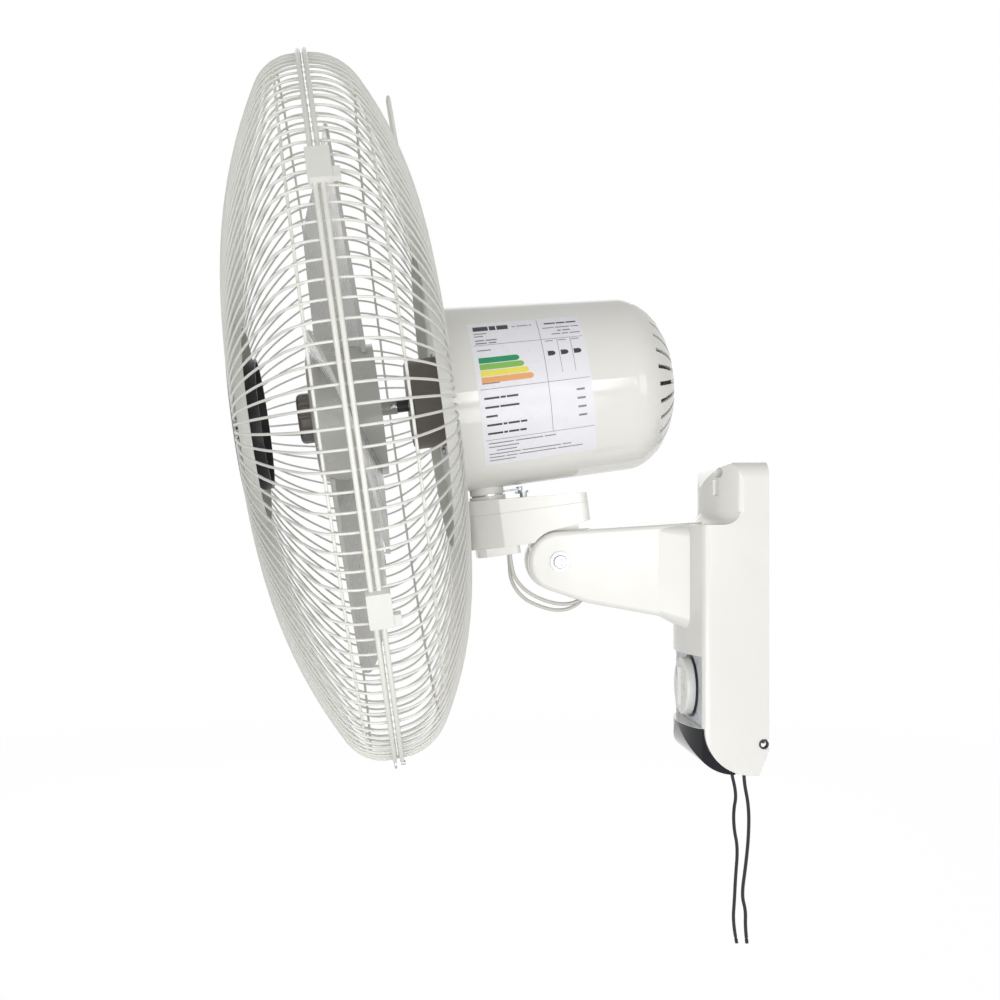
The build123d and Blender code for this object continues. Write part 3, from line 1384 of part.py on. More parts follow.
def guard_screws():
    """Four screws of the rear plate, one of the badge and one of the rim's keeper."""
    rear_seat = REAR_PLATE_FACE - GUARD_PLATE_T - SEAT
    rear = Pos(GUARD_SCREW_CIRCLE_R, rear_seat, 0) * Rot(90, 0, 0) * screw(GUARD_PLATE_T + 9)
    badge_seat = -FRONT_PLATE_FACE + GUARD_PLATE_T + SEAT
    badge_reach = GUARD_PLATE_T + 2 * WIRE_R + BADGE_T - 1.2
    front = Pos(0, badge_seat, 0) * Rot(-90, 0, 0) * screw(badge_reach)
    keeper_at = Rot(0, 90, 0) * Pos(KEEPER_SCREW_R, -KEEPER_EAR_T / 2 - SEAT, 0)
    keeper = keeper_at * Rot(90, 0, 0) * screw(KEEPER_EAR_T + 4)
    return solids_of(*[HEAD * one for one in around(rear, GUARD_SCREWS, 45)], HEAD * front, HEAD * keeper)


def hanging_loop():
    """A wire hairpin that stands off the top of the rear guard."""
    across = LOOP_FOOT_R * math.sin(2 * math.pi / WIRES)
    up = LOOP_FOOT_R * math.cos(2 * math.pi / WIRES)
    rise = LOOP_FOOT_R - REAR_PLATE_R
    dome = REAR_DEPTH - REAR_DOME_R + math.sqrt(REAR_DOME_R**2 - rise**2)
    touch = dome + WIRE_R + LOOP_TUBE_R + 0.3
    slope = rise / REAR_DOME_R
    top = up + LOOP_LENGTH
    top_y = touch - slope * LOOP_LENGTH + LOOP_STAND
    points = [
        (across, touch, up),
        (across, top_y, top),
        (-across, top_y, top),
        (-across, touch, up),
    ]
    path = FilletPolyline(*points, radius=[across * 0.9, across * 0.9])
    start = Plane(origin=path @ 0, z_dir=path % 0)
    return HEAD * sweep(start * Circle(LOOP_TUBE_R), path)


def badge():
    """The bare disc on the middle of the front guard."""
    back = -FRONT_DEPTH - WIRE_R - SEAT
    disc = rod_y(BADGE_R, back - BADGE_T, back)
    disc = fillet(disc.edges().sort_by(Axis.Y)[0], 1.6)
    boss = rod_y(BADGE_BOSS_R, back - 1, -FRONT_PLATE_FACE - SEAT)
    return HEAD * (disc + boss - rod_y(SCREW_R + SEAT, back - BADGE_T + 1, 0))


def rim_clips():
    """L shaped plastic clips that hold the two rim rings together."""
    half = CLIP_LENGTH / 2
    body = block(CLIP_INNER_R, CLIP_OUTER_R, -CLIP_FRONT, CLIP_BACK, -half, half)
    foot = block(
        CLIP_INNER_R + 1,
        CLIP_OUTER_R - 1,
        CLIP_BACK - 1,
        CLIP_BACK + CLIP_FOOT_REACH,
        -half,
        CLIP_FOOT_LENGTH - half,
    )
    body = fillet(body.edges().filter_by(Axis.X), 1.5)
    body = body + foot
    for sign in (-1, 1):
        groove = Rot(90, 0, 0) * Torus(RIM_R, RIM_TUBE_R + SEAT)
        body = body - Pos(0, sign * RIM_HALF, 0) * groove
    reach = RIM_HALF + RIM_TUBE_R
    mouth = block(CLIP_INNER_R - 1, RIM_R, -reach, reach, -half - 1, half + 1)
    body = body - mouth
    return solids_of(*[HEAD * Rot(0, -angle, 0) * body for angle in CLIPS_AT])


def safety_clip():
    """The small metal keeper at the foot of the rim, outside the wires."""
    low = RIM_R + RIM_TUBE_R + SEAT
    leg_low = MESH_R + WIRE_R + 0.3
    half = KEEPER_W / 2
    reach = RIM_HALF + RIM_TUBE_R + SEAT
    back = block(low, low + KEEPER_T, -reach - KEEPER_T, reach + KEEPER_T + 5, -half, half)
    front_leg = block(leg_low, low + KEEPER_T, -reach - KEEPER_T, -reach, -half, half)
    back_leg = block(leg_low, low + KEEPER_T, reach, reach + KEEPER_T, -half, half)
    body = back + front_leg + back_leg
    ears = block(low, low + KEEPER_EAR_OUT, -KEEPER_EAR_T / 2, KEEPER_EAR_T / 2, -half, half)
    body = body + ears - rod_y(SCREW_R + SEAT, -5, 5, KEEPER_SCREW_R)
    return HEAD * Rot(0, 90, 0) * body


# ---------------------------------------------------------------- rotor
def blade():
    """One blade along +X: cambered sections, trimmed to a rounded outline."""
    sections = []
    steps = 4
    for k in range(steps):
        share = k / (steps - 1)
        x = ROOT_X + share * (TIP_R + 4 - ROOT_X)
        half = 8 + ROOT_HALF_CHORD + share * (TIP_HALF_CHORD - ROOT_HALF_CHORD)
        trail = ROOT_TRAIL + share * (TIP_TRAIL - ROOT_TRAIL)
        lead = ROOT_LEAD + share * (TIP_LEAD - ROOT_LEAD)
        camber = ROOT_CAMBER + share * (TIP_CAMBER - ROOT_CAMBER)
        t = (ROOT_THICKNESS + share * (TIP_THICKNESS - ROOT_THICKNESS)) / 2
        bow = (trail + lead) / 2 + camber
        front = ThreePointArc((trail - t, half), (bow - t, 0), (lead - t, -half))
        back = ThreePointArc((trail + t, half), (bow + t, 0), (lead + t, -half))
        face = make_face([front, back, Line(front @ 0, back @ 0), Line(front @ 1, back @ 1)])
        sections.append(Plane.YZ.offset(x) * face)
    body = loft(sections)
    corner_x = math.sqrt(TIP_R**2 - TIP_HALF_CHORD**2)
    plan = make_face(
        [
            Line((ROOT_X, -ROOT_HALF_CHORD), (corner_x, -TIP_HALF_CHORD)),
            ThreePointArc((corner_x, -TIP_HALF_CHORD), (TIP_R, 0), (corner_x, TIP_HALF_CHORD)),
            Line((corner_x, TIP_HALF_CHORD), (ROOT_X, ROOT_HALF_CHORD)),
            Line((ROOT_X, ROOT_HALF_CHORD), (ROOT_X, -ROOT_HALF_CHORD)),
        ]
    )
    corners = plan.vertices().filter_by(lambda v: v.X > corner_x - 1)
    plan = fillet(corners, TIP_CORNER)
    return body & extrude(Plane.XZ * plan, 2 * HUB_R, both=True)


def hub_form():
    """The hub's closed outer form."""
    hub = rod_y(HUB_R, HUB_FRONT, HUB_BACK)
    return fillet(hub.edges().sort_by(Axis.Y)[0], HUB_EDGE_RADIUS)


def blade_set():
    """Hub and blades, one moulding, with ribs to the boss on the shaft."""
    hub = hub_form()
    hollow = rod_y(HUB_R - HUB_WALL, HUB_FRONT + HUB_WALL, HUB_BACK + 1)
    one = blade() - rod_y(HUB_R - 1, HUB_FRONT - 20, HUB_BACK + 30)
    body = hub - hollow
    for copy in around(one, BLADES, -BLADE_TURN):
        body = body + copy
    boss = rod_y(HUB_BOSS_R, HUB_FRONT + 1, HUB_BACK - 6)
    tail = rod_y(HUB_TAIL_R, HUB_FRONT + 1, HUB_TAIL)
    body = body + boss + tail
    rib = block(HUB_BOSS_R - 2, HUB_R - 1, HUB_FRONT + 1, HUB_BACK - 12, -HUB_RIB_HALF_T, HUB_RIB_HALF_T)
    for copy in around(rib, HUB_RIBS, 180 / HUB_RIBS):
        body = body + copy
    body = body - rod_y(SHAFT_R + SEAT, HUB_FRONT - 5, HUB_TAIL + 5)
    slot = block(-DRIVE_PIN_HALF - 1, DRIVE_PIN_HALF + 1, HUB_TAIL - 5, HUB_TAIL + 1, -1.6, 1.6)
    return HEAD * (body - slot)


def spinner():
    """The dark nut that holds the hub on the shaft, with a fluted rim."""
    back = SPINNER_FRONT + SPINNER_LENGTH
    back = min(back, HUB_FRONT - SEAT)
    body = rod_y(SPINNER_R, SPINNER_FRONT, back)
    body = fillet(body.edges().sort_by(Axis.Y)[0], SPINNER_EDGE)
    flute = rod_y(SPINNER_FLUTE_R, SPINNER_FRONT - 1, back + 1, SPINNER_R + 0.9)
    body = body - Compound(children=around(flute, SPINNER_FLUTES))
    return HEAD * (body - rod_y(SHAFT_R + SEAT, SPINNER_FRONT + 4, back + 1))


def motor_shaft():
    """The shaft, from the spinner to behind the rear bearing."""
    shaft = rod_y(SHAFT_R, SPINNER_FRONT + 5, REAR_BELL_FACE + BEARING_W + 3)
    return HEAD * (shaft - rod_x(DRIVE_PIN_R + 0.02, -20, 20, HUB_TAIL - 2.5, 0))


def drive_pin():
    """The pin across the shaft that turns the hub."""
    return HEAD * rod_x(DRIVE_PIN_R, -DRIVE_PIN_HALF, DRIVE_PIN_HALF, HUB_TAIL - 2.5, 0)


def shaft_sleeve():
    """The black sleeve on the shaft between hub and motor."""
    return HEAD * ring_y(SLEEVE_R, SHAFT_R + SEAT, HUB_TAIL + SEAT, BELL_NOSE_FRONT - 0.4)


def rotor_core():
    """The rotor pressed on the shaft, inside the stator."""
    return HEAD * ring_y(ROTOR_R, SHAFT_R + 0.02, STATOR_FRONT - 1, STATOR_BACK + 1)


# ---------------------------------------------------------------- parts
FRONT_GUARD = (-1, FRONT_STRAIGHT, FRONT_SHOULDER_R)
REAR_GUARD = (1, REAR_STRAIGHT, REAR_SHOULDER_R)
PARTS = {
    "wall_plate": wall_plate(),
    "base_housing": base_housing(),
    "case_screws": case_screws(),
    "control_panel": control_panel(),
    "dial_ring": dial_ring(),
    "smoked_window": smoked_window(),
    "rotary_switch": rotary_switch(),
    "switch_nut": switch_nut(),
    "speed_knob": speed_knob(),
    "switch_shaft": switch_shaft(),
    "pull_switches": pull_switches(),
    "cord_eyelets": cord_eyelets(),
    "speed_pull_bead": pull_bead(CORD_X),
    "speed_pull_cord": pull_cord(SPEED_CORD),
    "swing_pull_bead": pull_bead(-CORD_X),
    "swing_pull_cord": pull_cord(SWING_CORD),
    "capacitor": capacitor(),
    "terminal_block": terminal_block(),
    "mains_gland": mains_gland(),
    "pivot_bolt": pivot_bolt(),
    "pivot_nut": pivot_nut(),
    "friction_washers": friction_washers(),
    "neck_frame": neck_frame(),
    "neck_cover": neck_cover(),
    "neck_belly": neck_belly(),
    "swing_post": swing_post(),
    "thrust_washer": thrust_washer(),
    "swing_motor": swing_motor(),
    "crank": crank(),
    "swing_link": link(),
    "neck_leads": neck_leads(),
    "motor_housing": motor_housing(),
    "front_bell": front_bell(),
    "stator": stator(),
    "windings": windings(),
    "bearings": bearings(),
    "rear_bell": rear_bell(),
    "tie_bolts": tie_bolts(),
    "swing_socket": swing_socket(),
    "keeper_screw": keeper_screw(),
    "link_pin": link_pin(),
    "rear_guard_wires": guard_wires(*REAR_GUARD, REAR_DOME_R, REAR_PLATE_R, REAR_DEPTH),
    "rear_guard_rim": rim_ring(1),
    "rear_guard_ring": guard_ring(*REAR_GUARD, REAR_RING_ANGLE),
    "rear_guard_plate": rear_guard_plate(),
    "guard_screws": guard_screws(),
    "hanging_loop": hanging_loop(),
    "front_guard_wires": guard_wires(*FRONT_GUARD, FRONT_DOME_R, FRONT_PLATE_R, FRONT_DEPTH),
    "front_guard_rim": rim_ring(-1),
    "front_guard_ring": guard_ring(*FRONT_GUARD, FRONT_RING_ANGLE),
    "front_guard_plate": front_guard_plate(),
    "badge": badge(),
    "rim_clips": rim_clips(),
    "safety_clip": safety_clip(),
    "blade_set": blade_set(),
    "spinner": spinner(),
    "motor_shaft": motor_shaft(),
    "drive_pin": drive_pin(),
    "shaft_sleeve": shaft_sleeve(),
    "rotor_core": rotor_core(),
}
for name, shape in PARTS.items():
    export_step(shape, f"parts/{name}.step")
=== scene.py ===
import json
import math

import bmesh
import bpy
from mathutils import Matrix, Vector


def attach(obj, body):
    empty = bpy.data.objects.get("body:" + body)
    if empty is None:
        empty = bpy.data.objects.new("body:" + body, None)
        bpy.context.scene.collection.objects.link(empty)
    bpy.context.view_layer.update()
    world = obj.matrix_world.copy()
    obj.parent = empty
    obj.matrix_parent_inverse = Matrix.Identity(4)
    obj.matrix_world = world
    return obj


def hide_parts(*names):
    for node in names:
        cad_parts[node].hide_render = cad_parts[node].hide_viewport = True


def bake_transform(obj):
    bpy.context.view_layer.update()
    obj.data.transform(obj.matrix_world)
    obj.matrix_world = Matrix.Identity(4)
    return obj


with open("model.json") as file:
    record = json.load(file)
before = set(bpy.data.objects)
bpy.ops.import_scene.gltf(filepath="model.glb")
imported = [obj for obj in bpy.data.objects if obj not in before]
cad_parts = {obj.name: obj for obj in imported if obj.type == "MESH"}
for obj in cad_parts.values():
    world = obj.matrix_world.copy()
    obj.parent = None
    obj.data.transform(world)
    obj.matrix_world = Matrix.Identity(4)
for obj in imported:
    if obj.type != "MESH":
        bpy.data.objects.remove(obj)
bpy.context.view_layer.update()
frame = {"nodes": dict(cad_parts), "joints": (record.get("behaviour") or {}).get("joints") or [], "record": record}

# The looks of a white wall mounted fan, in metres, in the model's own frame:
# +Z is up, the wall is the plane Y = 0 and the fan blows towards -Y.
# Lengths below are written in millimetres and turned to metres by MM.

MM = 0.001

# ---------------------------------------------------------------- sizes
# Camera, at the photograph's viewing angle
CAMERA_AT = (1.110, -0.327, 0.096)
CAMERA_TURN = math.radians(5.8)
CAMERA_LENS = 48.42
SENSOR_WIDTH = 36.0

# Room
FLOOR_Z = -0.50
FLOOR_FADE_FROM = 1.3
FLOOR_FADE_TO = 3.0

# Lamps: name, place, the point that it faces, width, height and power in watts
MIDDLE = (0.0, -0.28, 0.12)
LAMPS = (
    ("key", (2.2, -1.0, 0.1), MIDDLE, 1.2, 1.2, 11),
    ("fill", (2.0, 1.3, 0.1), MIDDLE, 1.0, 1.0, 7),
    ("under", (1.1, -0.3, -0.3), (0.0, -0.28, 0.15), 1.0, 0.35, 3),
    ("back", (-1.8, -0.2, 0.9), MIDDLE, 1.6, 1.4, 6),
    ("strip", (2.3, 0.30, 0.11), (0.0, -0.15, 0.18), 0.38, 0.47, 4.0),
)

# Motor cover, a slightly tapered barrel that leans back along the fan axis
COVER_FRONT = 79.0
COVER_LENGTH = 144.8
COVER_R = 77.2
COVER_BACK_R = 71.8
COVER_DROP = 5.0

# Paper label on the cover
LABEL_W = 90.0
LABEL_H = 123.0
LABEL_ALONG = 65.1
LABEL_UP = -1.1
LABEL_TURN = math.radians(1.9)
PAPER_LIFT = 0.12
INK_LIFT = 0.17
LABEL_MARGIN = 4
DASH_GAP = 1.3
BARS_TOP = 34.0
BAR_PITCH = 5.2
BAR_H = 4.6
BAR_RIGHT = 36
BAR_STEP = 3.0
COLUMN_LEFT = 58.8
COLUMN_PITCH = 10.4
ARROW_W = 6
ARROW_H = 4.0
ROWS_TOP = 65.0
VALUES_TOP = 66.6
ROW_PITCH = 6.9
NOTES_TOP = 101.5
NOTES_PITCH = 3.3

# Printed dial on the flat control fascia
DIAL_Z = -60.0
FASCIA_Y = -53.0
DIAL_LINE_R = 27.2
NUMERAL_R = 32.5
NUMERAL_H = 5.0
PRINT_LIFT = 0.06
DIAL_LINE_HALF = 0.25
DIAL_ARCS = ((-150, -40), (-28, 28), (40, 150))
SPEED_TURNS = (("1", 45), ("2", 90), ("3", 135))
TICK_LENGTH = 2.4
TICK_HALF_TURN = 0.6
OFF_MARK = (-1.0, 1.2, -2.4, 2.4)
TEXT_SIZE_SHARE = 1.4
# Dark blue-grey ink blocks along the fascia's side edges, in mm: left, right, low, high; the first darkens the
# near side edge.
DARK_INK_BLOCKS = (
    (36.4, 43.0, -67.7, -44.2),
    (-43.4, -40.0, -68.0, -44.0),
    (-43.4, -40.0, -84.0, -80.5),
)

# Dark grey line drawn along the top of the knob's grip bar
GRIP_Y = -65.0
GRIP_TOP_Z = -43.0
GRIP_LINE_W = 1.3
GRIP_LINE_LENGTH = 9.0
GRIP_LINE_END_GAP = 1.0

# Guard, in the fan axis' frame from the plane between the rim rings
WIRES = 132
WIRE_R = 0.95
MESH_R = 281.0
RIM_HALF = 2.6
FRONT_STRAIGHT = 7.0
FRONT_SHOULDER_R = 34.5
FRONT_RING_ANGLE = math.radians(26.0)
REAR_STRAIGHT = 2.0
REAR_SHOULDER_R = 44.0
REAR_RING_ANGLE = math.radians(61.5)
WELD_R = 1.35
WELD_SQUASH = 0.55

# Dish in the front plate, in the fan axis' frame
DISH_R = 53.0
DISH_WALL = 2.0
DISH_FRONT = -84.3
DISH_BACK = -70.0
DISH_SIDES = 72

# Cords
PULL_CORD_R = 1.45
LEAD_R = 1.5
CORD_SIDES = 16
CORD_STEPS = 10
CORD_END_SHARE = 0.55
CORD_SHOULDER_SHARE = 0.5
SPEED_CORD = [
    (0.0200, -0.0130, -0.0981),
    (0.0201, -0.0129, -0.1170),
    (0.0200, -0.0130, -0.1370),
    (0.0203, -0.0087, -0.1580),
    (0.0206, -0.0089, -0.1820),
    (0.0202, -0.0113, -0.2070),
    (0.0196, -0.0147, -0.2320),
    (0.0201, -0.0113, -0.2446),
    (0.0204, -0.0119, -0.2580),
    (0.0202, -0.0104, -0.2717),
]
SWING_CORD = [
    (-0.0200, -0.0130, -0.0981),
    (-0.0201, -0.0131, -0.1170),
    (-0.0200, -0.0130, -0.1360),
    (-0.0204, -0.0076, -0.1570),
    (-0.0207, -0.0103, -0.1710),
    (-0.0203, -0.0100, -0.1870),
    (-0.0198, -0.0067, -0.2030),
    (-0.0202, -0.0087, -0.2290),
    (-0.0206, -0.0094, -0.2470),
    (-0.0203, -0.0111, -0.2680),
    (-0.0200, -0.0076, -0.2849),
]
LEAD_1 = [
    (0.0030, -0.2069, 0.0570),
    (0.0032, -0.2056, 0.0446),
    (0.0040, -0.2030, 0.0320),
    (0.0048, -0.1936, 0.0206),
    (0.0046, -0.1794, 0.0130),
    (0.0039, -0.1640, 0.0090),
    (0.0033, -0.1505, 0.0106),
    (0.0030, -0.1386, 0.0206),
    (0.0032, -0.1240, 0.0276),
]
LEAD_2 = [
    (-0.0030, -0.2069, 0.0570),
    (-0.0032, -0.2062, 0.0436),
    (-0.0030, -0.2050, 0.0280),
    (-0.0032, -0.1950, 0.0140),
    (-0.0030, -0.1800, 0.0068),
    (-0.0028, -0.1650, 0.0032),
    (-0.0028, -0.1510, 0.0064),
    (-0.0030, -0.1398, 0.0180),
    (-0.0033, -0.1260, 0.0260),
]

# ---------------------------------------------------------------- places
SPIN = next(joint for joint in frame["joints"] if joint["name"] == "spin")


def fan_frame():
    """The frame on the fan axis: Y runs back along the shaft and X is the model's own."""
    back = Vector(SPIN["axis"]).normalized()
    right = Vector((1, 0, 0))
    turn = Matrix((right, back, right.cross(back))).transposed().to_4x4()
    return Matrix.Translation(Vector(SPIN["pos_m"])) @ turn


HEAD = fan_frame()
COVER_LEAN = -math.atan(COVER_DROP / COVER_LENGTH)
COVER = HEAD @ Matrix.Translation((0, COVER_FRONT * MM, 0)) @ Matrix.Rotation(COVER_LEAN, 4, "X")


def cover_radius(along):
    """The cover's radius in mm, some way back from its front edge."""
    return COVER_R - (COVER_R - COVER_BACK_R) * along / COVER_LENGTH


# ---------------------------------------------------------------- materials
def colour(code):
    """Linear RGBA from an sRGB hex value."""
    parts = [int(code[k : k + 2], 16) / 255 for k in (1, 3, 5)]
    return tuple(c / 12.92 if c <= 0.04045 else ((c + 0.055) / 1.055) ** 2.4 for c in parts) + (1.0,)


def add(tree, kind, inputs=(), **settings):
    """Adds a node with its settings; inputs pairs each socket with a value or with what feeds it."""
    made = tree.nodes.new("ShaderNode" + kind)
    for name, value in settings.items():
        setattr(made, name, value)
    for name, value in dict(inputs).items():
        if isinstance(value, bpy.types.NodeSocket):
            tree.links.new(value, made.inputs[name])
        else:
            made.inputs[name].default_value = value
    return made


def per(size):
    """A texture's scale for a pattern that repeats every size mm."""
    return 1 / (size * MM)


def surface(name, **shader):
    """A new material with its shader, and the place that its patterns are laid out in."""
    made = bpy.data.materials.new(name)
    made.use_nodes = True
    tree = made.node_tree
    tree.nodes.clear()
    inputs = {key.replace("_", " "): value for key, value in shader.items()}
    principled = add(tree, "BsdfPrincipled", inputs)
    add(tree, "OutputMaterial", {"Surface": principled.outputs["BSDF"]})
    where = add(tree, "TexCoord").outputs["Object"]
    return made, tree, principled, where


def tint(tree, principled, where, size, light, dark):
    """Base colour that drifts between two close tones over patches of a size in mm."""
    patches = add(tree, "TexNoise", {"Vector": where, "Scale": per(size), "Detail": 3.0})
    mixed = add(
        tree,
        "Mix",
        {0: patches.outputs["Fac"], 6: colour(light), 7: colour(dark)},
        data_type="RGBA",
    )
    tree.links.new(mixed.outputs[2], principled.inputs["Base Color"])


def sheen_patches(tree, principled, where, size, low, high):
    """Roughness that drifts between two values over patches of a size in mm."""
    patches = add(tree, "TexNoise", {"Vector": where, "Scale": per(size), "Detail": 4.0})
    spread = add(
        tree,
        "MapRange",
        {"Value": patches.outputs["Fac"], "From Min": 0.3, "From Max": 0.7, "To Min": low, "To Max": high},
    )
    tree.links.new(spread.outputs["Result"], principled.inputs["Roughness"])


def relief(tree, principled, height, depth, soft_edge=0.0):
    """Bump of a depth in mm from a height, over edges rounded by soft_edge mm."""
    inputs = {"Height": height, "Distance": depth * MM, "Strength": 1.0}
    if soft_edge:
        rounded = add(tree, "Bevel", {"Radius": soft_edge * MM}, samples=4)
        inputs["Normal"] = rounded.outputs["Normal"]
    bump = add(tree, "Bump", inputs)
    tree.links.new(bump.outputs["Normal"], principled.inputs["Normal"])


def moulded_abs(name, light, dark, low, high):
    """Injection moulded ABS: an even white with a wet gloss that ripples a little.

    The ripple is the mould's polish, 1 mm across on the real part and drawn at 3 mm.
    """
    made, tree, principled, where = surface(name, IOR=1.54, Roughness=low)
    tint(tree, principled, where, 70, light, dark)
    sheen_patches(tree, principled, where, 18, low, high)
    ripple = add(tree, "TexNoise", {"Vector": where, "Scale": per(3), "Detail": 2.0})
    relief(tree, principled, ripple.outputs["Fac"], 0.012, 0.5)
    return made


def textured_plastic(name, light, dark, rough, grain, soft_edge=0.4):
    """Moulded plastic from a spark eroded tool: satin, with a fine even grain in mm."""
    made, tree, principled, where = surface(name, IOR=1.5, Roughness=rough)
    tint(tree, principled, where, 40, light, dark)
    sheen_patches(tree, principled, where, 9, rough - 0.05, rough + 0.06)
    pits = add(tree, "TexVoronoi", {"Vector": where, "Scale": per(grain)})
    relief(tree, principled, pits.outputs["Distance"], 0.05 * grain, soft_edge)
    return made


def smoked_acrylic():
    """Polished acrylic, smoked navy: near black in depth, with a clear mirror gloss."""
    made, tree, principled, where = surface(
        "smoked_acrylic",
        IOR=1.49,
        Roughness=0.04,
        Specular_IOR_Level=0.3,
    )
    tint(tree, principled, where, 30, "#14161F", "#0E1017")
    sheen_patches(tree, principled, where, 12, 0.03, 0.08)
    wipe_marks = add(tree, "TexNoise", {"Vector": where, "Scale": per(8), "Detail": 1.0})
    relief(tree, principled, wipe_marks.outputs["Fac"], 0.01, 0.5)
    return made


def powder_coat(name, light, dark, low, high):
    """Powder coated steel: a soft white skin with the coat's orange peel.

    The peel is about 0.8 mm across on thin wire, drawn at 1.2 mm.
    """
    made, tree, principled, where = surface(name, IOR=1.5, Roughness=low)
    tint(tree, principled, where, 25, light, dark)
    sheen_patches(tree, principled, where, 6, low, high)
    peel = add(tree, "TexNoise", {"Vector": where, "Scale": per(1.2), "Detail": 1.0})
    relief(tree, principled, peel.outputs["Fac"], 0.03, 0.3)
    return made


def zinc_plate():
    """Bright zinc plating on steel: a bluish silver with small crystals, dulled in spots."""
    made, tree, principled, where = surface("zinc_plated_steel", Metallic=1.0, Roughness=0.3)
    crystals = add(tree, "TexVoronoi", {"Vector": where, "Scale": per(1.6)})
    mixed = add(
        tree,
        "Mix",
        {0: crystals.outputs["Distance"], 6: colour("#C9CDD0"), 7: colour("#A9AEB2")},
        data_type="RGBA",
    )
    tree.links.new(mixed.outputs[2], principled.inputs["Base Color"])
    sheen_patches(tree, principled, where, 3, 0.22, 0.42)
    relief(tree, principled, crystals.outputs["Distance"], 0.02, 0.15)
    return made


def ground_steel():
    """Ground bar steel: a bright shaft with fine rings round it, 0.3 mm apart, drawn at 0.7 mm."""
    made, tree, principled, where = surface("ground_steel", Metallic=1.0, Roughness=0.16)
    tint(tree, principled, where, 12, "#C8C8C6", "#AFAFAD")
    rings = add(
        tree,
        "TexWave",
        {"Vector": where, "Scale": per(0.7) / 20, "Distortion": 0.6, "Detail": 1.0},
        bands_direction="Y",
    )
    sheen_patches(tree, principled, where, 5, 0.13, 0.24)
    relief(tree, principled, rings.outputs["Fac"], 0.01, 0.2)
    return made


def cast_metal(name, light, dark, metallic, low, high, grain):
    """Die cast alloy, bare or painted: a dull skin with the die's shallow grain in mm."""
    made, tree, principled, where = surface(name, Metallic=metallic, Roughness=low)
    tint(tree, principled, where, 20, light, dark)
    sheen_patches(tree, principled, where, 7, low, high)
    skin = add(tree, "TexNoise", {"Vector": where, "Scale": per(grain), "Detail": 5.0})
    relief(tree, principled, skin.outputs["Fac"], 0.08, 0.6)
    return made


def layered_metal(name, light, dark, pitch, depth, rough):
    """Stacked sheets or laid wire: fine parallel lines, a pitch in mm apart along the shaft.

    Sheets are 0.5 mm and wire is 0.6 mm on the real motor, both drawn at the pitch given.
    """
    made, tree, principled, where = surface(name, Metallic=1.0, Roughness=rough)
    lines = add(
        tree,
        "TexWave",
        {"Vector": where, "Scale": per(pitch) / 20, "Distortion": 0.3, "Detail": 1.0},
        bands_direction="Y",
    )
    mixed = add(
        tree,
        "Mix",
        {0: lines.outputs["Fac"], 6: colour(dark), 7: colour(light)},
        data_type="RGBA",
    )
    tree.links.new(mixed.outputs[2], principled.inputs["Base Color"])
    relief(tree, principled, lines.outputs["Fac"], depth)
    return made


def sintered_bronze():
    """Sintered bronze bush: brown gold, full of oil dark pores."""
    made, tree, principled, where = surface("sintered_bronze", Metallic=1.0, Roughness=0.4)
    pores = add(tree, "TexVoronoi", {"Vector": where, "Scale": per(0.8)})
    mixed = add(
        tree,
        "Mix",
        {0: pores.outputs["Distance"], 6: colour("#5E4426"), 7: colour("#B98B4C")},
        data_type="RGBA",
    )
    tree.links.new(mixed.outputs[2], principled.inputs["Base Color"])
    relief(tree, principled, pores.outputs["Distance"], 0.05, 0.2)
    return made


def clear_grey_resin():
    """Moulded styrene resin blades: a pale grey that lets a little light through."""
    made, tree, principled, where = surface(
        "grey_styrene_resin",
        IOR=1.57,
        Roughness=0.22,
        Subsurface_Weight=0.15,
        Subsurface_Scale=2 * MM,
    )
    tint(tree, principled, where, 60, "#C4C4C0", "#B6B6B2")
    sheen_patches(tree, principled, where, 25, 0.18, 0.32)
    ripple = add(tree, "TexNoise", {"Vector": where, "Scale": per(14), "Detail": 1.0})
    relief(tree, principled, ripple.outputs["Fac"], 0.05, 0.6)
    return made


def braided_nylon():
    """Braided nylon cord: dull black plaits, 2 mm apart, crossing both ways round the cord."""
    made, tree, principled, _ = surface("braided_nylon", IOR=1.53, Roughness=0.75, Sheen_Weight=0.25)
    round_it = add(tree, "UVMap", uv_map="round_and_along").outputs["UV"]
    parts = add(tree, "SeparateXYZ", {"Vector": round_it})
    turns = []
    for sign in (1.0, -1.0):
        slant = add(
            tree,
            "Math",
            {0: parts.outputs["Y"], 1: sign, 2: parts.outputs["X"]},
            operation="MULTIPLY_ADD",
        )
        angle = add(tree, "Math", {0: slant.outputs[0], 1: 2 * math.pi * per(2)}, operation="MULTIPLY")
        turns.append(add(tree, "Math", {0: angle.outputs[0]}, operation="SINE").outputs[0])
    plaits = add(tree, "Math", {0: turns[0], 1: turns[1]}, operation="MULTIPLY")
    shade = add(tree, "MapRange", {"Value": plaits.outputs[0], "From Min": -1.0, "From Max": 1.0})
    mixed = add(
        tree,
        "Mix",
        {0: shade.outputs["Result"], 6: colour("#0B0B0C"), 7: colour("#2A2A2C")},
        data_type="RGBA",
    )
    tree.links.new(mixed.outputs[2], principled.inputs["Base Color"])
    relief(tree, principled, shade.outputs["Result"], 0.2)
    return made


def vinyl_jacket():
    """Extruded PVC lead: a soft grey white, smooth along its length, a little dusty."""
    made, tree, principled, where = surface("pvc_lead_jacket", IOR=1.53, Roughness=0.38)
    tint(tree, principled, where, 15, "#D9D8D2", "#C4C2BB")
    sheen_patches(tree, principled, where, 6, 0.3, 0.48)
    ripple = add(tree, "TexNoise", {"Vector": where, "Scale": per(4), "Detail": 1.0})
    relief(tree, principled, ripple.outputs["Fac"], 0.06)
    return made


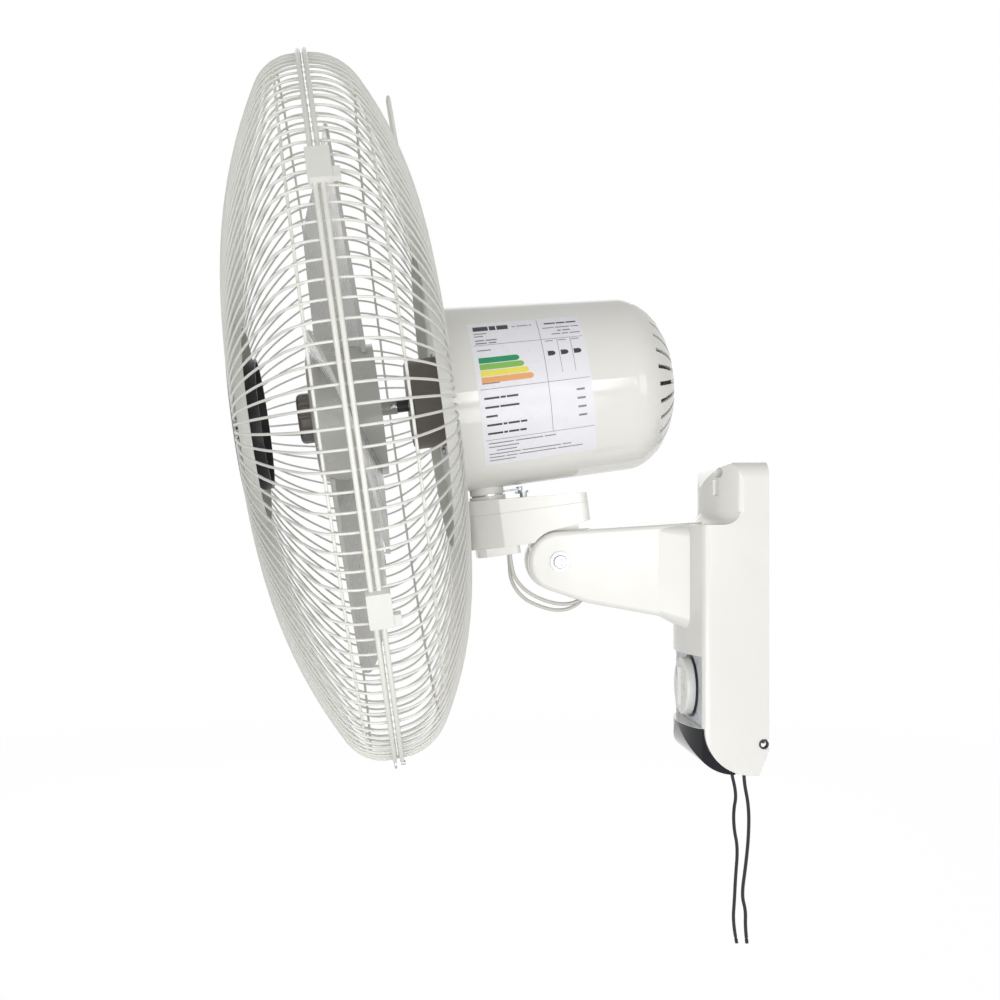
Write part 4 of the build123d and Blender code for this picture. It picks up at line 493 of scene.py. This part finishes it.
def coated_paper():
    """Coated label paper: cool white, smooth, with the faint tooth of its fibres."""
    made, tree, principled, where = surface("coated_label_paper", IOR=1.5, Roughness=0.3)
    tint(tree, principled, where, 20, "#F0EFF3", "#E8E7ED")
    sheen_patches(tree, principled, where, 10, 0.24, 0.36)
    fibres = add(tree, "TexNoise", {"Vector": where, "Scale": per(1.5), "Detail": 3.0})
    relief(tree, principled, fibres.outputs["Fac"], 0.01)
    return made


def printing_ink(name, code, worn):
    """Screen printed ink: flat, a little uneven where the screen left less of it."""
    made, tree, principled, where = surface("printing_ink_" + name, IOR=1.5, Roughness=0.4)
    tint(tree, principled, where, 3, code, worn)
    sheen_patches(tree, principled, where, 4, 0.34, 0.5)
    return made


def finishes():
    """One material for each of the record's slots."""
    return {
        "white_abs": moulded_abs("glossy_white_abs", "#EFEEEA", "#E9E8E3", 0.14, 0.22),
        "cover_white": moulded_abs("high_gloss_white_abs", "#EAE9E4", "#E5E4DE", 0.08, 0.13),
        "knob_white": moulded_abs("satin_white_abs", "#F1F1EE", "#EAEAE6", 0.24, 0.34),
        "panel_plastic": textured_plastic("pale_blue_abs", "#DDE2EA", "#D3D9E3", 0.36, 0.9),
        "smoked_plastic": smoked_acrylic(),
        "clip_white": textured_plastic("white_nylon", "#E9E9E4", "#DFDFD9", 0.42, 1.2),
        "guard_paint": powder_coat("white_powder_coat", "#ECECE6", "#E2E2DB", 0.3, 0.44),
        "plate_paint": powder_coat("white_coated_sheet", "#E6E6E1", "#DCDCD6", 0.32, 0.46),
        "plate_black": powder_coat("black_coated_sheet", "#1D1D1F", "#151517", 0.34, 0.48),
        "zinc_steel": zinc_plate(),
        "polished_steel": ground_steel(),
        "bell_paint": cast_metal("grey_painted_casting", "#77716B", "#6A645E", 0.0, 0.4, 0.55, 3),
        "cast_aluminium": cast_metal("die_cast_aluminium", "#C0C2C3", "#A7A9AA", 1.0, 0.42, 0.6, 2),
        "core_steel": layered_metal("steel_laminations", "#84868A", "#3C3D40", 1.2, 0.15, 0.45),
        "copper_wire": layered_metal("enamelled_copper", "#C77A45", "#6A3415", 1.2, 0.3, 0.28),
        "bearing_bronze": sintered_bronze(),
        "blade_grey": clear_grey_resin(),
        "spinner_grey": textured_plastic("dark_grey_plastic", "#6E6965", "#615C58", 0.4, 1.0),
        "badge_grey": textured_plastic("satin_grey_plastic", "#9A9D9F", "#8F9295", 0.3, 1.4),
        "black_plastic": textured_plastic("black_plastic", "#1E1E1F", "#151516", 0.4, 1.0),
        "cord_black": braided_nylon(),
        "lead_jacket": vinyl_jacket(),
    }


def dress_nodes(looks):
    """Gives each modelled piece the finish of its slot, but the front plate a white one."""
    for part in frame["record"]["subparts"]:
        shown = frame["nodes"][part["node"]]
        shown.data.materials.clear()
        shown.data.materials.append(looks[part["material_slot"]])
    frame["nodes"]["front_guard_plate"].data.materials[0] = looks["plate_paint"]


# ---------------------------------------------------------------- mesh helpers
def piece(name, mesh, body, materials):
    """A new object from a mesh, with its finish and the body that it moves with."""
    made = bpy.data.objects.new(name, mesh)
    bpy.context.scene.collection.objects.link(made)
    for look in materials:
        mesh.materials.append(look)
    if body:
        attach(made, body)
    return made


def finished(name, built, body, materials):
    """A new object from faces that are all in place."""
    mesh = bpy.data.meshes.new(name)
    built.to_mesh(mesh)
    built.free()
    return piece(name, mesh, body, materials)


def line_along(name, route):
    """Points read from the smooth curve that a route steers."""
    curve = bpy.data.curves.new(name, "CURVE")
    curve.dimensions = "3D"
    curve.resolution_u = CORD_STEPS
    spline = curve.splines.new("NURBS")
    spline.points.add(len(route) - 1)
    for point, place in zip(spline.points, route):
        point.co = (*place, 1.0)
    spline.order_u = 3
    spline.use_endpoint_u = True
    carrier = bpy.data.objects.new(name, curve)
    mesh = bpy.data.meshes.new_from_object(carrier)
    points = [vertex.co.copy() for vertex in mesh.vertices]
    bpy.data.objects.remove(carrier)
    bpy.data.meshes.remove(mesh)
    return points


def cord_mesh(name, path, radius):
    """A round cord along a path, narrowed near its ends, with a map of round and along."""
    rings = []
    across = Vector((1, 0, 0))
    travelled = 0.0
    last = len(path) - 1
    for k, point in enumerate(path):
        heading = (path[min(k + 1, last)] - path[max(k - 1, 0)]).normalized()
        across = (across - heading * across.dot(heading)).normalized()
        if k:
            travelled += (point - path[k - 1]).length
        rings.append((point, across.copy(), heading.cross(across), radius, travelled))
    for at, inward in ((0, 1.0), (last, -1.0)):
        point, side, up, _, place = rings[at]
        beside = path[1] - path[0] if at == 0 else path[last] - path[last - 1]
        heading = beside.normalized()
        rings[at] = (point, side, up, CORD_END_SHARE * radius, place)
        shoulder = point + heading * inward * CORD_SHOULDER_SHARE * radius
        extra = (shoulder, side, up, radius, place + inward * CORD_SHOULDER_SHARE * radius)
        rings.insert(1 if at == 0 else len(rings) - 1, extra)
    built = bmesh.new()
    layer = built.loops.layers.uv.new("round_and_along")
    loops = []
    for centre, side, up, reach, _ in rings:
        loop = []
        for k in range(CORD_SIDES):
            turn = 2 * math.pi * k / CORD_SIDES
            spoke = math.cos(turn) * side + math.sin(turn) * up
            loop.append(built.verts.new(centre + reach * spoke))
        loops.append(loop)
    for k in range(len(loops) - 1):
        for j in range(CORD_SIDES):
            near, far = loops[k], loops[k + 1]
            beyond = (j + 1) % CORD_SIDES
            face = built.faces.new((near[j], near[beyond], far[beyond], far[j]))
            face.smooth = True
            spots = ((j, k), (j + 1, k), (j + 1, k + 1), (j, k + 1))
            for corner, (step, ring) in zip(face.loops, spots):
                corner[layer].uv = (2 * math.pi * radius * step / CORD_SIDES, rings[ring][4])
    built.faces.new(list(reversed(loops[0])))
    built.faces.new(loops[-1])
    mesh = bpy.data.meshes.new(name)
    built.to_mesh(mesh)
    built.free()
    return mesh


# ---------------------------------------------------------------- cords
def pull_cord(name, route, body, looks):
    """One black pull cord that hangs out of the housing's floor to its bare end."""
    path = line_along(name, route)
    made = piece(name, cord_mesh(name, path, PULL_CORD_R * MM), body, [looks["cord_black"]])
    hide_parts(body + "_cord")


def neck_lead(name, route, looks):
    """One lead that sags from the neck's floor to the arm's underside."""
    path = line_along(name, route)
    made = piece(name, cord_mesh(name, path, LEAD_R * MM), None, [looks["lead_jacket"]])
    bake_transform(made)
    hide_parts("neck_leads")


# ---------------------------------------------------------------- label
PAPER, INK, GREY_INK, GREEN, LIME, YELLOW, ORANGE = range(7)


def on_cover(across, down, lift):
    """A point of the label, in mm from its top left corner, on the cover's curved side."""
    a = across - LABEL_W / 2
    b = LABEL_H / 2 - down
    along = LABEL_ALONG + a * math.cos(LABEL_TURN) - b * math.sin(LABEL_TURN)
    arc = LABEL_UP + a * math.sin(LABEL_TURN) + b * math.cos(LABEL_TURN)
    radius = cover_radius(along) + lift
    angle = arc / cover_radius(LABEL_ALONG)
    return COVER @ (Vector((radius * math.cos(angle), along, radius * math.sin(angle))) * MM)


def print_patch(built, left, right, top, bottom, ink, lift=INK_LIFT, tip=0.0):
    """A printed bar on the label, in mm, with its right end drawn out to a rounded tip."""
    rows = max(1, math.ceil((bottom - top) / 3))
    columns = max(1, math.ceil((right - left) / 12)) if not tip else 6
    grid = []
    for r in range(rows + 1 if not tip else 7):
        share = r / (rows if not tip else 6)
        down = top + (bottom - top) * share
        bulge = tip * math.sqrt(max(0.0, 1 - (2 * share - 1) ** 2)) if tip else 0.0
        reach = right - tip + bulge
        row = [left + (reach - left) * c / columns for c in range(columns + 1)]
        grid.append([built.verts.new(on_cover(across, down, lift)) for across in row])
    for upper, lower in zip(grid, grid[1:]):
        for c in range(columns):
            face = built.faces.new((lower[c], lower[c + 1], upper[c + 1], upper[c]))
            face.material_index = ink
            face.smooth = True


def dashes(built, left, down, lengths, height, ink, gap=DASH_GAP):
    """A line of plain dashes that stands in for small print."""
    for length in lengths:
        print_patch(built, left, left + length, down, down + height, ink)
        left += length + gap


def paper_sheet(built):
    """The label's paper, with its cut edge turned down to the cover."""
    print_patch(built, 0, LABEL_W, 0, LABEL_H, PAPER, PAPER_LIFT)
    edge = [e for e in built.edges if e.is_boundary]
    for side in edge:
        side.smooth = False
    skirt = bmesh.ops.extrude_edge_only(built, edges=edge)
    for vertex in (v for v in skirt["geom"] if isinstance(v, bmesh.types.BMVert)):
        place = COVER.inverted() @ vertex.co
        shorter = 1 - PAPER_LIFT * MM / Vector((place.x, 0, place.z)).length
        vertex.co = COVER @ Vector((place.x * shorter, place.y, place.z * shorter))


def label_heading(built):
    """A heavy heading, its small print and the heading of the narrow columns."""
    for left, down, lengths, height, ink, gap in (
        (LABEL_MARGIN, 4.5, (12, 5, 9), 4.6, INK, 1.0),
        (35, 6.5, (2.5, 9, 2), 0.9, GREY_INK, DASH_GAP),
        (LABEL_MARGIN, 11.6, (10,), 0.9, GREY_INK, DASH_GAP),
        (LABEL_MARGIN, 14.2, (7,), 0.9, GREY_INK, DASH_GAP),
        (LABEL_MARGIN, 18.2, (7, 9), 1.1, GREY_INK, DASH_GAP),
        (LABEL_MARGIN, 20.8, (9, 6), 1.1, GREY_INK, DASH_GAP),
        (61, 6.2, (9, 7, 8), 1.5, INK, 0.8),
        (59, 11.4, (9, 11, 6), 0.9, GREY_INK, DASH_GAP),
        (70, 14.8, (3, 6), 1.2, GREY_INK, DASH_GAP),
        (65, 18.2, (7, 5, 8), 0.9, GREY_INK, DASH_GAP),
    ):
        dashes(built, left, down, lengths, height, ink, gap)


def label_bars(built):
    """Four plain bars, each longer than the last, and the narrow columns beside them."""
    dashes(built, LABEL_MARGIN, 27.4, (11,), 0.9, GREY_INK)
    for k, ink in enumerate((GREEN, LIME, YELLOW, ORANGE)):
        top = BARS_TOP + BAR_PITCH * k
        right = BAR_RIGHT + BAR_STEP * k
        print_patch(built, LABEL_MARGIN, right, top, top + BAR_H, ink, tip=BAR_H / 2)
    dashes(built, LABEL_MARGIN, 54.0, (14,), 0.9, GREY_INK)
    for k in range(3):
        left = COLUMN_LEFT + COLUMN_PITCH * k
        print_patch(built, left, left + ARROW_W, BARS_TOP, BARS_TOP + ARROW_H, INK, tip=ARROW_H / 2)
        dashes(built, left - 0.5, 24.6, (6.5,), 0.7, GREY_INK)
    for across in (67.8, 78.4):
        print_patch(built, across, across + 0.35, 23.6, 52.5, GREY_INK)


def label_rows(built):
    """The ruled rows, each a heavy line with a short value at its right, and the fine print."""
    for k, lengths in enumerate(((12, 4, 9), (11, 15), (9,), (12, 3, 9, 5), (12, 3, 8, 5))):
        dashes(built, LABEL_MARGIN, ROWS_TOP + ROW_PITCH * k, lengths, 1.6, INK, 0.9)
    for k in range(4):
        dashes(built, 77, VALUES_TOP + ROW_PITCH * k, (6.5,), 1.6, GREY_INK)
    for k, lengths in enumerate(((20, 22, 9), (24,), (16,), (25, 31, 7), (12, 9, 30, 20), (21,))):
        indent = 6 if k == 2 else 0
        dashes(built, LABEL_MARGIN + indent, NOTES_TOP + NOTES_PITCH * k, lengths, 0.9, GREY_INK)


def label_rules(built):
    """The thin ruled lines that part the label's boxes."""
    for down, left, right in ((22.9, 2, 89), (58.6, 2, 89), (98.6, 2, 89)):
        print_patch(built, left, right, down, down + 0.4, GREY_INK)
    print_patch(built, 55.4, 55.8, 1.5, 98.6, GREY_INK)


def cover_label(looks):
    """The paper label on the motor cover, printed with plain shapes only."""
    built = bmesh.new()
    paper_sheet(built)
    for part in (label_heading, label_bars, label_rows, label_rules):
        part(built)
    inks = [
        coated_paper(),
        printing_ink("black", "#2B2A2E", "#3A383D"),
        printing_ink("grey", "#77747C", "#8A878F"),
        printing_ink("green", "#178A57", "#2B9566"),
        printing_ink("lime", "#7DB549", "#8CBD5E"),
        printing_ink("yellow", "#EADB4B", "#EEE270"),
        printing_ink("orange", "#E6A05E", "#EAB07A"),
    ]
    finished("cover_label", built, "head", inks)


# ---------------------------------------------------------------- printed dial
def on_panel(x, z):
    """A point in mm just in front of the control fascia."""
    return Vector((x, FASCIA_Y - PRINT_LIFT, z)) * MM


def dial_spot(radius, clockwise):
    """Where a turn in degrees from the top of the dial meets a radius in mm."""
    turn = math.radians(clockwise)
    return radius * math.sin(turn), DIAL_Z + radius * math.cos(turn)


def dial_arc(built, inner, outer, start, end):
    """A thin printed arc between two radii, from one turn of the dial to another."""
    steps = max(1, round(abs(end - start) / 4))
    edges = []
    for k in range(steps + 1):
        turn = start + (end - start) * k / steps
        edges.append([built.verts.new(on_panel(*dial_spot(radius, turn))) for radius in (inner, outer)])
    for before, after in zip(edges, edges[1:]):
        built.faces.new((before[0], before[1], after[1], after[0]))


def numeral(built, figure, clockwise):
    """A plain numeral beside its tick."""
    text = bpy.data.curves.new("numeral", "FONT")
    text.body = figure
    text.size = NUMERAL_H * MM * TEXT_SIZE_SHARE
    text.align_x = "CENTER"
    text.align_y = "CENTER"
    carrier = bpy.data.objects.new("numeral", text)
    mesh = bpy.data.meshes.new_from_object(carrier)
    x, z = dial_spot(NUMERAL_R, clockwise)
    for vertex in mesh.vertices:
        vertex.co = on_panel(x + vertex.co.x / MM, z + vertex.co.y / MM)
    built.from_mesh(mesh)
    bpy.data.objects.remove(carrier)
    bpy.data.meshes.remove(mesh)


def panel_print(looks):
    """The dial's fine print: arcs, a tick and numeral for each speed, and plain dark blue-grey blocks at the
    fascia's side edges.
    """
    built = bmesh.new()
    for start, end in DIAL_ARCS:
        dial_arc(built, DIAL_LINE_R - DIAL_LINE_HALF, DIAL_LINE_R + DIAL_LINE_HALF, start, end)
    for _, turn in SPEED_TURNS:
        tick_end = DIAL_LINE_R + TICK_LENGTH
        dial_arc(built, DIAL_LINE_R, tick_end, turn - TICK_HALF_TURN, turn + TICK_HALF_TURN)
    inward, outward, start, end = OFF_MARK
    dial_arc(built, DIAL_LINE_R + inward, DIAL_LINE_R + outward, start, end)
    for figure, turn in SPEED_TURNS:
        numeral(built, figure, turn)
    for left, right, low, high in DARK_INK_BLOCKS:
        rows = [[built.verts.new(on_panel(x, z)) for x in (left, right)] for z in (low, high)]
        built.faces.new((rows[0][0], rows[0][1], rows[1][1], rows[1][0]))
    bmesh.ops.recalc_face_normals(built, faces=built.faces)
    ink = printing_ink("blue_grey", "#5E6476", "#737A8C")
    finished("panel_print", built, "wall_unit", [ink])


def grip_dark_line():
    """A dark grey line drawn on the top of the knob's grip bar."""
    built = bmesh.new()
    half = GRIP_LINE_W / 2
    spots = (
        (-half, GRIP_TOP_Z - GRIP_LINE_LENGTH),
        (half, GRIP_TOP_Z - GRIP_LINE_LENGTH),
        (half, GRIP_TOP_Z - GRIP_LINE_END_GAP),
        (-half, GRIP_TOP_Z - GRIP_LINE_END_GAP),
    )
    built.faces.new([built.verts.new(Vector((x, GRIP_Y - PRINT_LIFT, z)) * MM) for x, z in spots])
    ink = printing_ink("knob_grey", "#4A4D55", "#5B5E66")
    finished("grip_dark_line", built, "speed_dial", [ink])


# ---------------------------------------------------------------- welds
def weld_beads(name, sign, straight, shoulder, bend, looks):
    """A small coated weld where each guard wire meets its rim ring and its support ring."""
    inside = shoulder - WIRE_R
    ring = (MESH_R - shoulder + inside * math.cos(bend), sign * (straight + inside * math.sin(bend)))
    rim = (MESH_R + WIRE_R, sign * RIM_HALF)
    built = bmesh.new()
    for k in range(WIRES):
        turn = Matrix.Rotation(2 * math.pi * k / WIRES, 4, "Y")
        for radius, along in (ring, rim):
            place = HEAD @ turn @ Matrix.Translation(Vector((radius, along, 0)) * MM)
            shape = Matrix.Diagonal((WELD_SQUASH, 1.0, 1.0, 1.0))
            bmesh.ops.create_icosphere(built, subdivisions=1, radius=WELD_R * MM, matrix=place @ shape)
    for face in built.faces:
        face.smooth = True
    finished(name, built, "head", [looks["guard_paint"]])


# ---------------------------------------------------------------- front plate
def plate_dish(looks):
    """The black wall of the dish behind the badge, a short ring on the front plate's inner face."""
    built = bmesh.new()
    rings = []
    inner = DISH_R - DISH_WALL
    corners = ((DISH_R, DISH_FRONT), (DISH_R, DISH_BACK), (inner, DISH_BACK), (inner, DISH_FRONT))
    for radius, along in corners:
        ring = []
        for k in range(DISH_SIDES):
            turn = 2 * math.pi * k / DISH_SIDES
            spot = Vector((radius * math.cos(turn), along, radius * math.sin(turn)))
            ring.append(built.verts.new(HEAD @ (spot * MM)))
        rings.append(ring)
    for before, after in zip(rings, rings[1:] + rings[:1]):
        for k in range(DISH_SIDES):
            beyond = (k + 1) % DISH_SIDES
            built.faces.new((before[k], before[beyond], after[beyond], after[k]))
    bmesh.ops.recalc_face_normals(built, faces=built.faces)
    finished("plate_dish", built, "head", [looks["plate_black"]])


# ---------------------------------------------------------------- stage
def camera():
    """The camera, level and at the photograph's viewing angle."""
    data = bpy.data.cameras.new("camera")
    data.lens = CAMERA_LENS
    data.sensor_width = SENSOR_WIDTH
    data.clip_start = 0.05
    data.clip_end = 50.0
    made = bpy.data.objects.new("camera", data)
    made.location = CAMERA_AT
    ahead = Vector((-math.cos(CAMERA_TURN), math.sin(CAMERA_TURN), 0))
    made.rotation_mode = "QUATERNION"
    made.rotation_quaternion = ahead.to_track_quat("-Z", "Y")
    bpy.context.scene.collection.objects.link(made)
    bpy.context.scene.camera = made


def seen_directly(tree):
    """1 for a ray that shows the background itself: straight, mirrored or through glass."""
    path = add(tree, "LightPath")
    mirrored = add(
        tree,
        "Math",
        {0: path.outputs["Is Glossy Ray"], 1: path.outputs["Is Transmission Ray"]},
        operation="MAXIMUM",
    )
    return add(
        tree,
        "Math",
        {0: path.outputs["Is Camera Ray"], 1: mirrored.outputs[0]},
        operation="MAXIMUM",
    )


def backdrop():
    """A white room that lights the object softly and shows as plain white."""
    world = bpy.data.worlds.new("white_room")
    bpy.context.scene.world = world
    world.use_nodes = True
    tree = world.node_tree
    tree.nodes.clear()
    lighting = add(tree, "Background", {"Color": colour("#FFFFFF"), "Strength": 0.40})
    shown = add(tree, "Background", {"Color": colour("#FFFFFF"), "Strength": 1.0})
    chosen = add(
        tree,
        "MixShader",
        {0: seen_directly(tree).outputs[0], 1: lighting.outputs[0], 2: shown.outputs[0]},
    )
    add(tree, "OutputWorld", {"Surface": chosen.outputs[0]})


def floor_finish():
    """A matt pale floor that keeps soft shadows and fades into the white room."""
    made = bpy.data.materials.new("matt_pale_floor")
    made.use_nodes = True
    tree = made.node_tree
    tree.nodes.clear()
    where = add(tree, "TexCoord").outputs["Object"]
    reach = add(tree, "VectorMath", {0: where}, operation="LENGTH")
    fade = add(
        tree,
        "MapRange",
        {"Value": reach.outputs["Value"], "From Min": FLOOR_FADE_FROM, "From Max": FLOOR_FADE_TO},
        interpolation_type="SMOOTHSTEP",
    )
    matt = add(tree, "BsdfDiffuse", {"Color": colour("#8A8A8A")})
    glow = add(tree, "Emission", {"Color": colour("#FFFFFF"), "Strength": 0.86})
    lifted = add(tree, "AddShader", {0: matt.outputs[0], 1: glow.outputs[0]})
    plain = add(tree, "BsdfDiffuse", {"Color": colour("#F4F4F4")})
    chosen = add(
        tree,
        "MixShader",
        {0: seen_directly(tree).outputs[0], 1: plain.outputs[0], 2: lifted.outputs[0]},
    )
    clear = add(tree, "BsdfTransparent")
    faded = add(tree, "MixShader", {0: fade.outputs["Result"], 1: chosen.outputs[0], 2: clear.outputs[0]})
    add(tree, "OutputMaterial", {"Surface": faded.outputs[0]})
    return made


def floor():
    """The floor under the fan."""
    mesh = bpy.data.meshes.new("floor")
    built = bmesh.new()
    bmesh.ops.create_circle(built, cap_ends=True, segments=64, radius=FLOOR_FADE_TO)
    built.to_mesh(mesh)
    built.free()
    mesh.materials.append(floor_finish())
    made = bpy.data.objects.new("floor", mesh)
    made.location = (0, -0.25, FLOOR_Z)
    bpy.context.scene.collection.objects.link(made)


def softbox(name, at, towards, width, height, power):
    """A soft studio lamp that faces a point."""
    data = bpy.data.lights.new(name, "AREA")
    data.shape = "RECTANGLE"
    data.size = width
    data.size_y = height
    data.energy = power
    made = bpy.data.objects.new(name, data)
    made.location = at
    made.rotation_mode = "QUATERNION"
    made.rotation_quaternion = (Vector(towards) - Vector(at)).to_track_quat("-Z", "Y")
    bpy.context.scene.collection.objects.link(made)


def lamps():
    """A key and a fill on the camera's side, light from below and behind, and a small panel."""
    for name, at, towards, width, height, power in LAMPS:
        softbox(name, at, towards, width, height, power)


# ---------------------------------------------------------------- the scene
bpy.context.scene.view_settings.view_transform = "Standard"
camera()
LOOKS = finishes()
dress_nodes(LOOKS)
pull_cord("speed_cord", SPEED_CORD, "speed_pull", LOOKS)
pull_cord("swing_cord", SWING_CORD, "swing_pull", LOOKS)
neck_lead("neck_lead_near", LEAD_1, LOOKS)
neck_lead("neck_lead_far", LEAD_2, LOOKS)
cover_label(LOOKS)
panel_print(LOOKS)
grip_dark_line()
plate_dish(LOOKS)
weld_beads("front_guard_welds", -1, FRONT_STRAIGHT, FRONT_SHOULDER_R, FRONT_RING_ANGLE, LOOKS)
weld_beads("rear_guard_welds", 1, REAR_STRAIGHT, REAR_SHOULDER_R, REAR_RING_ANGLE, LOOKS)
backdrop()
floor()
lamps()
